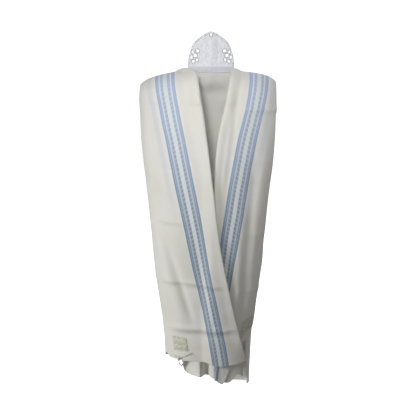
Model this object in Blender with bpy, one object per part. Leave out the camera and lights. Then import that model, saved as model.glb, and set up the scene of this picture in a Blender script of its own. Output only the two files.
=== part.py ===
# Tallit, a prayer shawl, hanging as it is worn: the hollow cloth alone, held up at the shoulders.
# Metres, +Z up, the front faces -Y. The origin is where the shoulders carry the cloth.
# The cloth is one oblong, 1.50 m wide and 1.18 m high, with its stripes along the short sides.
# Each side comes round to the front and turns back outwards, so that each front is doubled.
# Its solids are its stretches: the back, the two sides and the two fronts, parted by narrow seams.

import bpy
import bmesh
import math
from mathutils import Matrix, Vector

# Driving sizes
CLOTH = 0.0015
SEAM = 0.0003
SHOULDER_HALF = 0.217
RIM_Z = -0.06
RIM_DEPTH = 0.088
RIDGE_RISE = 0.092
RIDGE_FALL = {-1: 0.16, 1: 0.05}
RIDGE_NEAR = 0.09
CAP_LENGTH = 0.139
PLAN_ROUND = 2.6
CAP_ROUND = 5.0
FRONT_EDGE = 0.955

# Layers of a doubled front, as heights of their middle above the back cloth's middle
UNDER_ON_BACK = 0.0060
UNDER_IN_FRONT = 0.0026
LAP_PULL = 0.0005
LAYER_GAP = 0.0042
CROSSING_LIFT = 0.0150
CROSSING_EASE = 0.050

# The body that the cloth hangs round, by height: half width, depth to the front, depth to the back
BODY_ROWS = [
    dict(z=-0.06, half=0.217, front=0.088, back=0.088),
    dict(z=-0.13, half=0.217, front=0.106, back=0.108),
    dict(z=-0.24, half=0.209, front=0.116, back=0.118),
    dict(z=-0.37, half=0.195, front=0.118, back=0.120),
    dict(z=-0.48, half=0.186, front=0.116, back=0.116),
    dict(z=-0.58, half=0.178, front=0.112, back=0.110),
    dict(z=-0.68, half=0.165, front=0.108, back=0.102),
    dict(z=-0.78, half=0.153, front=0.104, back=0.096),
    dict(z=-0.86, half=0.144, front=0.101, back=0.092),
    dict(z=-0.95, half=0.140, front=0.098, back=0.090),
    dict(z=-1.08, half=0.137, front=0.094, back=0.088),
]

# A front's inner edge, by length along it from the shoulder's ridge, and the radius of its roll
LEFT_EDGE = [
    dict(along=-0.190, x=-0.104, roll=0.0040),
    dict(along=-0.060, x=-0.091, roll=0.0050),
    dict(along=0.000, x=-0.074, roll=0.0070),
    dict(along=0.030, x=-0.044, roll=0.0080),
    dict(along=0.090, x=-0.034, roll=0.0080),
    dict(along=0.190, x=-0.017, roll=0.0075),
    dict(along=0.300, x=-0.002, roll=0.0065),
    dict(along=0.430, x=0.016, roll=0.0045),
    dict(along=0.560, x=0.032, roll=0.0030),
    dict(along=0.760, x=0.068, roll=0.0028),
    dict(along=0.986, x=0.112, roll=0.0028),
]
RIGHT_EDGE = [
    dict(along=-0.135, x=0.112, roll=0.0040),
    dict(along=-0.050, x=0.104, roll=0.0050),
    dict(along=0.000, x=0.083, roll=0.0065),
    dict(along=0.070, x=0.072, roll=0.0070),
    dict(along=0.150, x=0.056, roll=0.0065),
    dict(along=0.240, x=0.036, roll=0.0055),
    dict(along=0.360, x=0.025, roll=0.0045),
    dict(along=0.560, x=0.022, roll=0.0040),
    dict(along=1.060, x=0.025, roll=0.0040),
]

# Hems, by share of the way from the outer side to the inner roll
LEFT_HEM = dict(
    top=[(0.00, 0.960), (0.06, 0.980), (0.50, 0.982), (0.70, 0.992), (1.00, 0.986)],
    under=[(0.00, 0.950), (0.12, 0.972), (0.50, 0.972), (1.00, 0.986)],
)
RIGHT_HEM = dict(
    top=[(0.00, 0.902), (0.30, 0.935), (0.55, 1.000), (0.80, 1.066), (1.00, 1.050)],
    under=[(0.00, 1.052), (0.12, 1.056), (0.30, 1.038), (0.60, 1.064), (1.00, 1.050)],
)
BACK_HEM = [
    (-1.00, -0.880), (-0.82, -0.912), (-0.70, -0.938), (-0.60, -0.952), (-0.46, -0.985),
    (-0.34, -1.042), (0.20, -1.052), (0.70, -1.046), (1.00, -0.985),
]
BACK_FOLD_RATE = 9.5
BACK_FOLD_START = 0.6
BACK_FOLD_DEPTH = 0.016
BACK_FOLD_TOP = -0.30

# Each front with its lower patch's upper edge, as a place along, and the columns of its patches
FRONTS = {
    -1: dict(name="left", edges=LEFT_EDGE, hems=LEFT_HEM, patch_top=0.913, lower=(2, 4), upper=(1, 5)),
    1: dict(name="right", edges=RIGHT_EDGE, hems=RIGHT_HEM, patch_top=0.905, lower=(1, 4), upper=(1, 5)),
}

# Neckband: how it stands in plan, and its outline as height at a distance from its middle
NECK_X = 0.010
NECK_BASE = 0.034
NECK_CLOTH_TOP = 0.043
NECK_Y = 0.048
NECK_SWEEP = 0.016
NECK_CREASE = 0.006
NECK_CREASE_WIDTH = 0.022
NECK_LEAN = 0.006
NECK_TAB_HALF = 0.0775
NECK_LAP = 0.014
NECK_SEAM = 0.0005
NECK_HALF = 0.0755
LACE = 0.0018
NECK_OUTLINE = [
    (0.000, 0.165), (0.012, 0.161), (0.025, 0.154), (0.041, 0.143),
    (0.055, 0.130), (0.064, 0.112), (0.071, 0.090), (0.0755, 0.066),
]
# Openings cut in the lace on each side: how far out and up from the foot of the middle, and their size
LACE_HOLES = [
    dict(out=0.0432, up=0.0695, wide=0.0080, tall=0.0100, turn=-35),
    dict(out=0.0512, up=0.0550, wide=0.0095, tall=0.0100, turn=-20),
    dict(out=0.0590, up=0.0660, wide=0.0045, tall=0.0110, turn=-26),
    dict(out=0.0638, up=0.0490, wide=0.0075, tall=0.0095, turn=-12),
    dict(out=0.0575, up=0.0360, wide=0.0065, tall=0.0100, turn=28),
    dict(out=0.0455, up=0.0410, wide=0.0055, tall=0.0085, turn=8),
]
LACE_PEAK_HOLE = dict(out=0.0, up=0.121, wide=0.0070, tall=0.0085, turn=0)

# Corner patches, one on each corner of the oblong, and the knotted cords that hang from them
PATCH = 0.0012
PATCH_TALL = 0.053
PATCH_INSET = 0.027
STRAND = 0.0017
STRAND_SIDES = 4
STRANDS = 8
STRAND_RING = 0.0032
STRAND_SPREAD = 0.0052
KNOT = 0.0048
WINDING = 0.0034
KNOT_SIDES = 8
HANG_STEP = 0.012
UPPER_SLANT = 1.6
LOWER_SLANT = 1.5
SEAT_CLOSE = 0.88
LOWER_DROP = 0.0022
LOWER_HANG_X = 0.124
LOWER_HANG_COLUMNS = (2, 3)
# Fringe cords that hang: length wound with knots, knots in it, and length left loose
HANGING = [
    dict(name="left_upper", side=-1, wound=0.085, knots=5, loose=0.165),
    dict(name="right_upper", side=1, wound=0.085, knots=5, loose=0.165),
    dict(name="right_lower", side=1, wound=0.046, knots=3, loose=0.088),
]
# The cords at the left front's lower corner: each arm by place along, place across and height
LEFT_KNOT = dict(along=0.975, x=-0.0935, height=0.0123)
LEFT_ARMS = [
    dict(strands=2, path=[
        (0.9720, -0.0900, 0.0120), (0.9660, -0.0800, 0.0108),
        (0.9580, -0.0660, 0.0104), (0.9500, -0.0530, 0.0104),
    ]),
    dict(strands=2, path=[(0.9730, -0.0960, 0.0120), (0.9700, -0.1020, 0.0106), (0.9640, -0.1075, 0.0104)]),
    dict(strands=4, path=[
        (0.9790, -0.0925, 0.0122), (0.9930, -0.0900, 0.0115), (1.0030, -0.0885, 0.0040),
        (1.0050, -0.0880, -0.0060), (0.9980, -0.0880, -0.0150),
        (0.9700, -0.0880, -0.0185), (0.9250, -0.0880, -0.0180),
    ]),
]
ARM_RING = {2: 0.0013, 4: 0.0019}

# Columns round the back cloth, as angles from the middle of the back, and its rows
BACK_ANGLES = [
    -110, -106, -102, -98, -94, -90, -85, -79, -73, -67, -60, -51, -42, -36, -30, -24, -18, -12, -6,
    0, 6, 12, 18, 24, 30, 36, 48, 54, 60, 67, 73, 79, 85, 90, 94, 98, 102, 106, 110,
]
SIDE_SEAM = 60
NECK_ANGLE = 36
SIDE_ANGLE = 70
SIDE_TOP = [(70, -0.004), (90, -0.014), (110, -0.030)]
BACK_REACHES = [0.028, 0.056, 0.084, 0.112]
BACK_SHARES = [0.0, 0.05, 0.11, 0.17, 0.23, 0.29, 0.36, 0.43, 0.50, 0.57, 0.64, 0.71, 0.78, 0.85, 0.92, 1.0]
NECK_ROWS = 8
LACE_SIDES = 8
CUTTER_LENGTH = 0.03

# Rows along a front: fine over the shoulder, then even steps down to the hem
CAP_STEPS = [-0.028, 0.0, 0.028, 0.056, 0.084, 0.112, 0.142]
BEHIND_STEPS = [-0.112, -0.084, -0.056]
FALL_ROWS = 14
PATCH_FOOT = 0.965
HEM = 1.0
PIN_ALONG = 0.55

COLOURS = dict(
    cloth=(0.84, 0.83, 0.78, 1.0),
    lace=(0.86, 0.87, 0.91, 1.0),
    cord=(0.88, 0.86, 0.78, 1.0),
)


def easeStep(low, high, value):
    share = min(1.0, max(0.0, (value - low) / (high - low)))
    return share * share * (3.0 - 2.0 * share)


def rowValue(rows, key, column, at):
    """Smooth reading of a table: a curve through its rows."""
    places = [row[key] for row in rows]
    values = [row[column] for row in rows]
    return curveThrough(places, values, at)


def curveThrough(places, values, at):
    """Monotone cubic through the points, flat outside them."""
    if at <= places[0]:
        return values[0]
    if at >= places[-1]:
        return values[-1]
    slopes = []
    count = len(places)
    grades = [(values[i + 1] - values[i]) / (places[i + 1] - places[i]) for i in range(count - 1)]
    for i in range(count):
        if i in (0, count - 1):
            slopes.append(grades[0] if i == 0 else grades[-1])
        elif grades[i - 1] * grades[i] <= 0:
            slopes.append(0.0)
        else:
            slopes.append(2.0 * grades[i - 1] * grades[i] / (grades[i - 1] + grades[i]))
    i = max(k for k in range(count - 1) if places[k] <= at)
    width = places[i + 1] - places[i]
    t = (at - places[i]) / width
    return (
        values[i] * (1 + 2 * t) * (1 - t) ** 2
        + width * slopes[i] * t * (1 - t) ** 2
        + values[i + 1] * t * t * (3 - 2 * t)
        + width * slopes[i + 1] * t * t * (t - 1)
    )


def curveAt(pairs, at):
    return curveThrough([p[0] for p in pairs], [p[1] for p in pairs], at)


def halfWidth(z):
    return rowValue(BODY_ROWS[::-1], "z", "half", z)


def depth(z, facing):
    return rowValue(BODY_ROWS[::-1], "z", facing, z)


def bulge(share, power):
    """Height of a rounded oblong, 1 at its middle and 0 at its end."""
    return max(0.0, 1.0 - abs(share) ** power) ** (1.0 / power)


def ridgeRise(x):
    """Height of the shoulder's ridge above the rim, at x."""
    side = 1 if x > 0 else -1
    fall = RIDGE_FALL[side] * max(0.0, abs(x) - RIDGE_NEAR)
    return (RIDGE_RISE - fall) * bulge(x / SHOULDER_HALF, CAP_ROUND)


def bodyPoint(x, along):
    """A point of the body under a front: along is measured from the ridge, forwards positive."""
    facing = "front" if along >= 0 else "back"
    turn = -1.0 if along >= 0 else 1.0
    reach = abs(along)
    if reach < CAP_LENGTH:
        angle = 0.5 * math.pi * reach / CAP_LENGTH
        y = RIM_DEPTH * bulge(x / SHOULDER_HALF, PLAN_ROUND) * math.sin(angle)
        return Vector((x, turn * y, RIM_Z + ridgeRise(x) * math.cos(angle)))
    z = RIM_Z - (reach - CAP_LENGTH)
    y = depth(z, facing) * bulge(x / halfWidth(z), PLAN_ROUND)
    return Vector((x, turn * y, z))


def outward(x, along):
    """Direction straight out of the body at a point of bodyPoint."""
    small = 0.002
    limit = SHOULDER_HALF if abs(along) < CAP_LENGTH else halfWidth(RIM_Z - (abs(along) - CAP_LENGTH))
    inner = max(-limit * 0.99, x - small)
    outer = min(limit * 0.99, x + small)
    across = bodyPoint(outer, along) - bodyPoint(inner, along)
    down = bodyPoint(x, along + small) - bodyPoint(x, along - small)
    return down.cross(across).normalized()


def outerX(side, along):
    """Where a front's outer side lies."""
    if abs(along) < CAP_LENGTH:
        return side * FRONT_EDGE * SHOULDER_HALF
    return side * FRONT_EDGE * halfWidth(RIM_Z - (abs(along) - CAP_LENGTH))


def crossingLift(side, x, along):
    """The left front rises where it lies over the right one."""
    if side > 0:
        return 0.0
    edge = rowValue(RIGHT_EDGE, "along", "x", along)
    start = easeStep(0.10, 0.34, along)
    return CROSSING_LIFT * start * easeStep(edge - CROSSING_EASE, edge - 0.006, x)


def frontPoint(side, x, along, height):
    lift = height + crossingLift(side, x, along)
    return bodyPoint(x, along) + outward(x, along) * lift


def underHeight(along):
    return UNDER_ON_BACK + (UNDER_IN_FRONT - UNDER_ON_BACK) * easeStep(0.10, 0.24, along)


def nominalRows(front):
    """Rows along a front, before its hem is set: the ends leave room for the corner patches."""
    start = front["edges"][0]["along"]
    patchEnd = start + PATCH_INSET + PATCH_TALL
    rows = [start, start + PATCH_INSET, patchEnd]
    rows += [step for step in BEHIND_STEPS if step > patchEnd + 0.012]
    rows += CAP_STEPS
    fall = (front["patch_top"] - CAP_STEPS[-1]) / FALL_ROWS
    rows += [CAP_STEPS[-1] + fall * (i + 1) for i in range(FALL_ROWS)]
    return rows + [PATCH_FOOT, HEM]


def stretchTo(along, hemHere):
    if along <= PIN_ALONG:
        return along
    return PIN_ALONG + (along - PIN_ALONG) * (hemHere - PIN_ALONG) / (HEM - PIN_ALONG)


TOP_SHARES = [0.0, 0.05, 0.12, 0.20, 0.30, 0.41, 0.52, 0.63, 0.73, 0.82, 0.90, 0.96]
ROLL_ANGLES = [90, 50, 10, -30, -65, -90]
UNDER_SHARES = [0.95, 0.88, 0.78, 0.66, 0.54, 0.42, 0.30, 0.20, 0.12, 0.05, 0.0]


def frontGrid(side):
    """Rows of points: the top layer from its outer edge, round the roll, and back under."""
    edges = FRONTS[side]["edges"]
    hems = FRONTS[side]["hems"]
    grid = []
    for nominal in nominalRows(FRONTS[side]):
        row = [layerPoint(side, edges, nominal, hems["top"], share, 1) for share in TOP_SHARES]
        row += [rollPoint(side, edges, nominal, hems["top"], angle) for angle in ROLL_ANGLES]
        row += [layerPoint(side, edges, nominal, hems["under"], share, 0) for share in UNDER_SHARES]
        grid.append(row)
    return grid


def layerPoint(side, edges, nominal, hemRows, share, layer):
    along = stretchTo(nominal, curveAt(hemRows, share))
    outer = outerX(side, along)
    inner = rowValue(edges, "along", "x", along)
    roll = rowValue(edges, "along", "roll", along)
    x = outer + (inner - outer) * share
    near = easeStep(4.5 * roll, 0.0, (1.0 - share) * abs(inner - outer))
    gap = LAYER_GAP + (2.0 * roll - LAYER_GAP) * near
    return frontPoint(side, x, along, underHeight(along) + gap * layer)


def rollPoint(side, edges, nominal, hemRows, angle):
    along = stretchTo(nominal, curveAt(hemRows, 1.0))
    inner = rowValue(edges, "along", "x", along)
    roll = rowValue(edges, "along", "roll", along)
    turn = math.radians(angle)
    x = inner - side * roll * math.cos(turn)
    return frontPoint(side, x, along, underHeight(along) + roll + roll * math.sin(turn))


def gridNormals(grid):
    rows = len(grid)
    columns = len(grid[0])
    normals = []
    for i in range(rows):
        line = []
        for j in range(columns):
            down = grid[min(i + 1, rows - 1)][j] - grid[max(i - 1, 0)][j]
            over = grid[i][min(j + 1, columns - 1)] - grid[i][max(j - 1, 0)]
            line.append(down.cross(over).normalized())
        normals.append(line)
    return normals


def movedGrid(grid, distance):
    normals = gridNormals(grid)
    return [[p + n * distance for p, n in zip(row, line)] for row, line in zip(grid, normals)]


def wallMesh(name, grid, thickness, material):
    """A closed wall of one thickness on a grid of points."""
    return wallFromSides(name, movedGrid(grid, thickness / 2), movedGrid(grid, -thickness / 2), material)


def wallFromSides(name, upper, lower, material):
    rows = len(upper)
    columns = len(upper[0])
    work = bmesh.new()
    top = [[work.verts.new(p) for p in row] for row in upper]
    low = [[work.verts.new(p) for p in row] for row in lower]
    for i in range(rows - 1):
        for j in range(columns - 1):
            work.faces.new((top[i][j], top[i + 1][j], top[i + 1][j + 1], top[i][j + 1]))
            work.faces.new((low[i][j], low[i][j + 1], low[i + 1][j + 1], low[i + 1][j]))
    for i in range(rows - 1):
        work.faces.new((top[i][0], low[i][0], low[i + 1][0], top[i + 1][0]))
        work.faces.new((top[i][-1], top[i + 1][-1], low[i + 1][-1], low[i][-1]))
    for j in range(columns - 1):
        work.faces.new((top[0][j], top[0][j + 1], low[0][j + 1], low[0][j]))
        work.faces.new((top[-1][j], low[-1][j], low[-1][j + 1], top[-1][j + 1]))
    bmesh.ops.recalc_face_normals(work, faces=work.faces)
    return finishObject(name, work, material)


def finishObject(name, work, material):
    bmesh.ops.triangulate(work, faces=work.faces)
    mesh = bpy.data.meshes.new(name)
    work.to_mesh(mesh)
    work.free()
    made = bpy.data.objects.new(name, mesh)
    bpy.context.scene.collection.objects.link(made)
    if material:
        mesh.materials.append(material)
    mesh.shade_smooth()
    mesh.set_sharp_from_angle(angle=math.radians(50))
    return made


def makeMaterial(name, colour, roughness):
    material = bpy.data.materials.new(name)
    material.use_nodes = True
    shader = material.node_tree.nodes["Principled BSDF"]
    shader.inputs["Base Color"].default_value = colour
    shader.inputs["Roughness"].default_value = roughness
    shader.inputs["Metallic"].default_value = 0.0
    return material


def neckDepth(x):
    """How far back the neckband stands at x, with the soft crease down its middle."""
    off = (x - NECK_X) / NECK_HALF
    crease = NECK_CREASE * max(0.0, 1.0 - abs(x - NECK_X) / NECK_CREASE_WIDTH)
    return NECK_Y + NECK_SWEEP * off * off - crease


def radialPoint(angle, z):
    """A point of the body by angle from the middle of the back, positive to +X."""
    facing = "back" if abs(angle) < 90 else "front"
    turn = math.radians(angle)
    low = 0.0
    high = 0.4
    for _ in range(30):
        reach = (low + high) / 2
        if insideBody(reach * math.sin(turn), reach * abs(math.cos(turn)), z, facing):
            low = reach
        else:
            high = reach
    return Vector((low * math.sin(turn), low * math.cos(turn), z))


def insideBody(x, y, z, facing):
    if z <= RIM_Z:
        half = halfWidth(z)
        return abs(x) < half and y < depth(z, facing) * bulge(x / half, PLAN_ROUND)
    rise = ridgeRise(x)
    share = (z - RIM_Z) / rise if rise > 1e-6 else 1.0
    if abs(x) >= SHOULDER_HALF or share >= 1.0:
        return False
    return y < RIM_DEPTH * bulge(x / SHOULDER_HALF, PLAN_ROUND) * math.sqrt(1.0 - share * share)


def backGrid():
    """Rows of points of the back cloth, from its top edge to its hem."""
    columns = []
    for angle in BACK_ANGLES:
        low = curveAt(BACK_HEM, angle / BACK_ANGLES[-1])
        column = upperBack(angle)
        column += [foldedPoint(angle, RIM_Z + (low - RIM_Z) * share) for share in BACK_SHARES]
        columns.append(column)
    return [[column[i] for column in columns] for i in range(len(columns[0]))]


def upperBack(angle):
    """The column above the rim: up to the neckband, over the shoulder, or up the outer side."""
    rim = radialPoint(angle, RIM_Z)
    if abs(angle) <= NECK_ANGLE:
        top = neckPoint(angle)
        return [neckClothPoint(rim, top, reach) for reach in BACK_REACHES]
    if abs(angle) < SIDE_ANGLE:
        return [bodyPoint(rim.x, -reach) for reach in BACK_REACHES]
    top = curveAt(SIDE_TOP, abs(angle))
    span = CAP_LENGTH - BACK_REACHES[0]
    heights = [top + (RIM_Z - top) * (reach - BACK_REACHES[0]) / span for reach in BACK_REACHES]
    return [radialPoint(angle, z) for z in heights]


def neckClothPoint(rim, top, reach):
    """Straight down behind the neckband's foot, then out to the rim."""
    foot = top - Vector((0.0, 0.0, NECK_LAP))
    if reach == BACK_REACHES[0]:
        return top
    share = (reach - BACK_REACHES[1]) / (CAP_LENGTH - BACK_REACHES[1])
    place = foot.lerp(rim, share)
    place.y = foot.y + (rim.y - foot.y) * share * share * (3.0 - 2.0 * share)
    return place


def neckPoint(angle):
    """Where the back cloth's top edge lies against the neckband."""
    x = NECK_X + NECK_TAB_HALF * angle / NECK_ANGLE
    return Vector((x, neckDepth(x) + LACE / 2 + NECK_SEAM + CLOTH / 2, NECK_CLOTH_TOP))


def foldedPoint(angle, z):
    """The back cloth below the rim, falling into deep folds towards its hem."""
    point = radialPoint(angle, z)
    fade = easeStep(BACK_FOLD_TOP, -0.95, z) * easeStep(95, 70, abs(angle))
    turn = math.radians(angle)
    wave = math.cos(turn * BACK_FOLD_RATE + BACK_FOLD_START)
    shift = BACK_FOLD_DEPTH * fade * wave - LAP_PULL * easeStep(88, 98, abs(angle))
    return point + Vector((math.sin(turn), math.cos(turn), 0.0)) * shift


def makeBack(material):
    """The back and the two sides, cut from one grid: the sides stop a seam's width short of the back."""
    grid = backGrid()
    normals = gridNormals(grid)
    first = BACK_ANGLES.index(-SIDE_SEAM)
    last = BACK_ANGLES.index(SIDE_SEAM)
    makeStretch("back", grid, normals, range(first, last + 1), material)
    for name, seam, step in (("side_left", first, -1), ("side_right", last, 1)):
        parted = [list(row) for row in grid]
        for row in parted:
            row[seam] = row[seam] + (row[seam + step] - row[seam]).normalized() * SEAM
        columns = range(seam, len(BACK_ANGLES)) if step > 0 else range(seam + 1)
        makeStretch(name, parted, normals, columns, material)


def makeStretch(name, grid, normals, columns, material):
    sides = []
    for height in (CLOTH / 2, -CLOTH / 2):
        sides.append([[row[j] + line[j] * height for j in columns] for row, line in zip(grid, normals)])
    wallFromSides(name, sides[0], sides[1], material)


def neckbandGrid():
    tab = [NECK_X + NECK_TAB_HALF * angle / NECK_ANGLE for angle in BACK_ANGLES if abs(angle) <= NECK_ANGLE]
    places = [NECK_X - NECK_HALF] + tab[1:-1] + [NECK_X + NECK_HALF]
    grid = []
    for i in range(NECK_ROWS + 1):
        share = 1.0 - i / NECK_ROWS
        grid.append([neckbandPoint(x, share) for x in places])
    return grid


def neckbandPoint(x, share):
    top = curveAt(NECK_OUTLINE, abs(x - NECK_X))
    z = NECK_BASE + (top - NECK_BASE) * share
    lean = NECK_LEAN * max(0.0, z - NECK_CLOTH_TOP) / (NECK_OUTLINE[0][1] - NECK_CLOTH_TOP)
    return Vector((x, neckDepth(x) + lean, z))


def laceCutters():
    """One mesh of short bars, each as wide as an opening in the lace."""
    work = bmesh.new()
    holes = [(hole, side) for hole in LACE_HOLES for side in (-1, 1)] + [(LACE_PEAK_HOLE, 1)]
    for hole, side in holes:
        x = NECK_X + side * hole["out"]
        place = Matrix.Translation((x, neckDepth(x), NECK_BASE + hole["up"]))
        turn = Matrix.Rotation(math.radians(-side * hole["turn"]), 4, "Y")
        lay = Matrix.Rotation(math.radians(90), 4, "X")
        size = Matrix.Diagonal((hole["wide"] / 2, 1.0, hole["tall"] / 2, 1.0))
        bmesh.ops.create_cone(
            work, cap_ends=True, segments=LACE_SIDES, radius1=1.0, radius2=1.0, depth=CUTTER_LENGTH,
            matrix=place @ turn @ size @ lay,
        )
    cutters = finishObject("lace_cutters", work, None)
    cutters.hide_render = True
    cutters.display_type = "WIRE"
    return cutters


def makeNeckband(material):
    band = wallMesh("atarah", neckbandGrid(), LACE, material)
    cut = band.modifiers.new("openings", "BOOLEAN")
    cut.operation = "DIFFERENCE"
    cut.solver = "EXACT"
    cut.object = laceCutters()
    return band


def outwardNormals(grid, side):
    """Normals of a front that point away from the body on its top layer."""
    return [[normal * -side for normal in line] for line in gridNormals(grid)]


def makePatches(grid, side, material):
    """Two patches on a front's outer side, from the front's own points moved out."""
    front = FRONTS[side]
    rows = dict(lower=(len(grid) - 3, len(grid) - 1), upper=(1, 3))
    normals = outwardNormals(grid, side)
    near = CLOTH / 2 + SEAM
    for end, (low, high) in rows.items():
        first, last = front[end]
        sides = []
        for height in (near + PATCH, near):
            sides.append([
                [grid[i][j] + normals[i][j] * height for j in range(first, last + 1)]
                for i in range(low, high)
            ])
        wallFromSides(f"patch_{front['name']}_{end}", sides[0], sides[1], material)


def addTube(work, path, radii, sides):
    """A closed tube along a path, with its own radius at each point."""
    rings = []
    side = Vector((1.0, 0.0, 0.0))
    for i, place in enumerate(path):
        ahead = (path[min(i + 1, len(path) - 1)] - path[max(i - 1, 0)]).normalized()
        side = (side - ahead * side.dot(ahead)).normalized()
        other = ahead.cross(side)
        turns = [2 * math.pi * (k + 0.5) / sides for k in range(sides)]
        rings.append([
            work.verts.new(place + (side * math.cos(t) + other * math.sin(t)) * radii[i]) for t in turns
        ])
    for lower, upper in zip(rings, rings[1:]):
        for k in range(sides):
            after = (k + 1) % sides
            work.faces.new((lower[k], lower[after], upper[after], upper[k]))
    work.faces.new(rings[0])
    work.faces.new(rings[-1])


def resample(path, step):
    """Points at even steps along a polyline."""
    lengths = [0.0]
    for first, second in zip(path, path[1:]):
        lengths.append(lengths[-1] + (second - first).length)
    count = max(2, round(lengths[-1] / step))
    return [alongPath(path, lengths, lengths[-1] * i / count) for i in range(count + 1)]


def alongPath(path, lengths, at):
    return Vector([curveThrough(lengths, [place[axis] for place in path], at) for axis in range(3)])


def knotRadii(count, knots):
    """Radii that swell at each knot and draw in between."""
    radii = []
    for i in range(count):
        swell = 0.5 - 0.5 * math.cos(2 * math.pi * knots * i / (count - 1))
        radii.append(KNOT + (WINDING - KNOT) * swell)
    return radii


def makeTassel(name, head, headRadii, arms, material):
    """The knotted head, with its loose strands joined to it at their roots."""
    work = bmesh.new()
    addTube(work, head, headRadii, KNOT_SIDES)
    bmesh.ops.recalc_face_normals(work, faces=work.faces)
    tassel = finishObject(name, work, material)
    loose = bmesh.new()
    for arm in arms:
        addTube(loose, arm, [STRAND / 2 * math.sqrt(2)] * len(arm), STRAND_SIDES)
    bmesh.ops.recalc_face_normals(loose, faces=loose.faces)
    strands = finishObject(f"{name}_strands", loose, None)
    strands.hide_render = True
    strands.display_type = "WIRE"
    join = tassel.modifiers.new("strands", "BOOLEAN")
    join.operation = "UNION"
    join.solver = "EXACT"
    join.object = strands


def ringOffsets(count, ring):
    return [
        Vector((math.cos(2 * math.pi * k / count), math.sin(2 * math.pi * k / count), 0.0)) * ring
        for k in range(count)
    ]


def clearance(row, z, end):
    """How far from the body a hanging cord has to keep, at a height."""
    if row["name"].endswith("lower"):
        return (UNDER_IN_FRONT + CLOTH / 2 + SEAM + KNOT) * LOWER_SLANT
    layers = UNDER_ON_BACK + LAYER_GAP + CLOTH / 2 if z > end else CLOTH / 2
    return (layers + SEAM + KNOT) * UPPER_SLANT


def makeHangingTassel(row, grid, material):
    """A cord that hangs from its corner patch, straight down and just clear of the cloth."""
    lower = row["name"].endswith("lower")
    facing = "front" if lower else "back"
    turn = -1.0 if lower else 1.0
    if lower:
        x = row["side"] * LOWER_HANG_X
        top = min(grid[-1][column].z for column in LOWER_HANG_COLUMNS) - LOWER_DROP
        end = top
    else:
        first, last = FRONTS[row["side"]]["upper"]
        column = (first + last) // 2
        normals = outwardNormals(grid, row["side"])
        seat = grid[2][column] + normals[2][column] * (CLOTH / 2 + SEAM + PATCH + SEAM + KNOT * SEAT_CLOSE)
        x = seat.x
        top = seat.z
        end = grid[0][column].z - KNOT
    path = [] if lower else [seat]
    y = 0.0
    z = top if lower else top - HANG_STEP
    low = top - row["wound"] - row["loose"]
    while z > low:
        half = halfWidth(z)
        face = depth(z, facing) * bulge(min(0.99, abs(x) / half), PLAN_ROUND)
        y = max(y, face + clearance(row, z, end))
        path.append(Vector((x, turn * y, z)))
        z -= HANG_STEP
    count = round(row["wound"] / HANG_STEP) + 1
    head = resample(path[:count], row["wound"] / (4 * row["knots"]))
    below = path[count - 1:]
    arms = []
    for offset in ringOffsets(STRANDS, 1.0):
        arm = [path[count - 2] + offset * STRAND_RING * 0.6]
        for i, place in enumerate(below):
            ring = STRAND_RING + (STRAND_SPREAD - STRAND_RING) * i / (len(below) - 1)
            arm.append(place + offset * ring)
        arms.append(arm)
    makeTassel(f"tzitzit_{row['name']}", head, knotRadii(len(head), row["knots"]), arms, material)


def makeTuckedTassel(material):
    """The cords at the left front's lower corner, which lie on the cloth and turn in under its hem."""
    knot = frontPoint(-1, LEFT_KNOT["x"], LEFT_KNOT["along"], LEFT_KNOT["height"])
    down = Vector((0.0, 0.0, -0.0075))
    head = [knot - down, knot - down * 0.5, knot, knot + down * 0.5, knot + down]
    radii = [KNOT * size for size in (0.55, 0.95, 0.80, 0.95, 0.55)]
    arms = []
    for arm in LEFT_ARMS:
        path = [frontPoint(-1, x, along, height) for along, x, height in arm["path"]]
        path = resample(path, HANG_STEP)
        ahead = (path[-1] - path[0]).normalized()
        count = arm["strands"]
        for k in range(count):
            angle = 2 * math.pi * k / count
            ring = ARM_RING[count]
            across = ahead.cross(Vector((0.0, -1.0, 0.0))).normalized()
            offset = across * ring * math.cos(angle) + Vector((0.0, -1.0, 0.0)) * ring * math.sin(angle)
            arms.append([knot + offset * 0.8] + [place + offset for place in path])
    makeTassel("tzitzit_left_lower", head, radii, arms, material)


def main():
    for thing in list(bpy.data.objects):
        bpy.data.objects.remove(thing, do_unlink=True)
    cloth = makeMaterial("cream_cloth", COLOURS["cloth"], 0.8)
    lace = makeMaterial("white_lace", COLOURS["lace"], 0.7)
    cord = makeMaterial("fringe_cord", COLOURS["cord"], 0.8)
    fronts = {side: frontGrid(side) for side in FRONTS}
    for side, grid in fronts.items():
        wallMesh(f"front_{FRONTS[side]['name']}", grid, CLOTH, cloth)
        makePatches(grid, side, cloth)
    makeBack(cloth)
    makeNeckband(lace)
    for row in HANGING:
        makeHangingTassel(row, fronts[row["side"]], cord)
    makeTuckedTassel(cord)


main()
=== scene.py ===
# A tallit, the striped prayer shawl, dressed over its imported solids: cloth, lace, patches and fringe.
# Metres, +Z up, the front faces -Y. "along" is the way down a front from the shoulder's ridge,
# "across" the way round it, and "left" and "right" are the viewer's.

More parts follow.
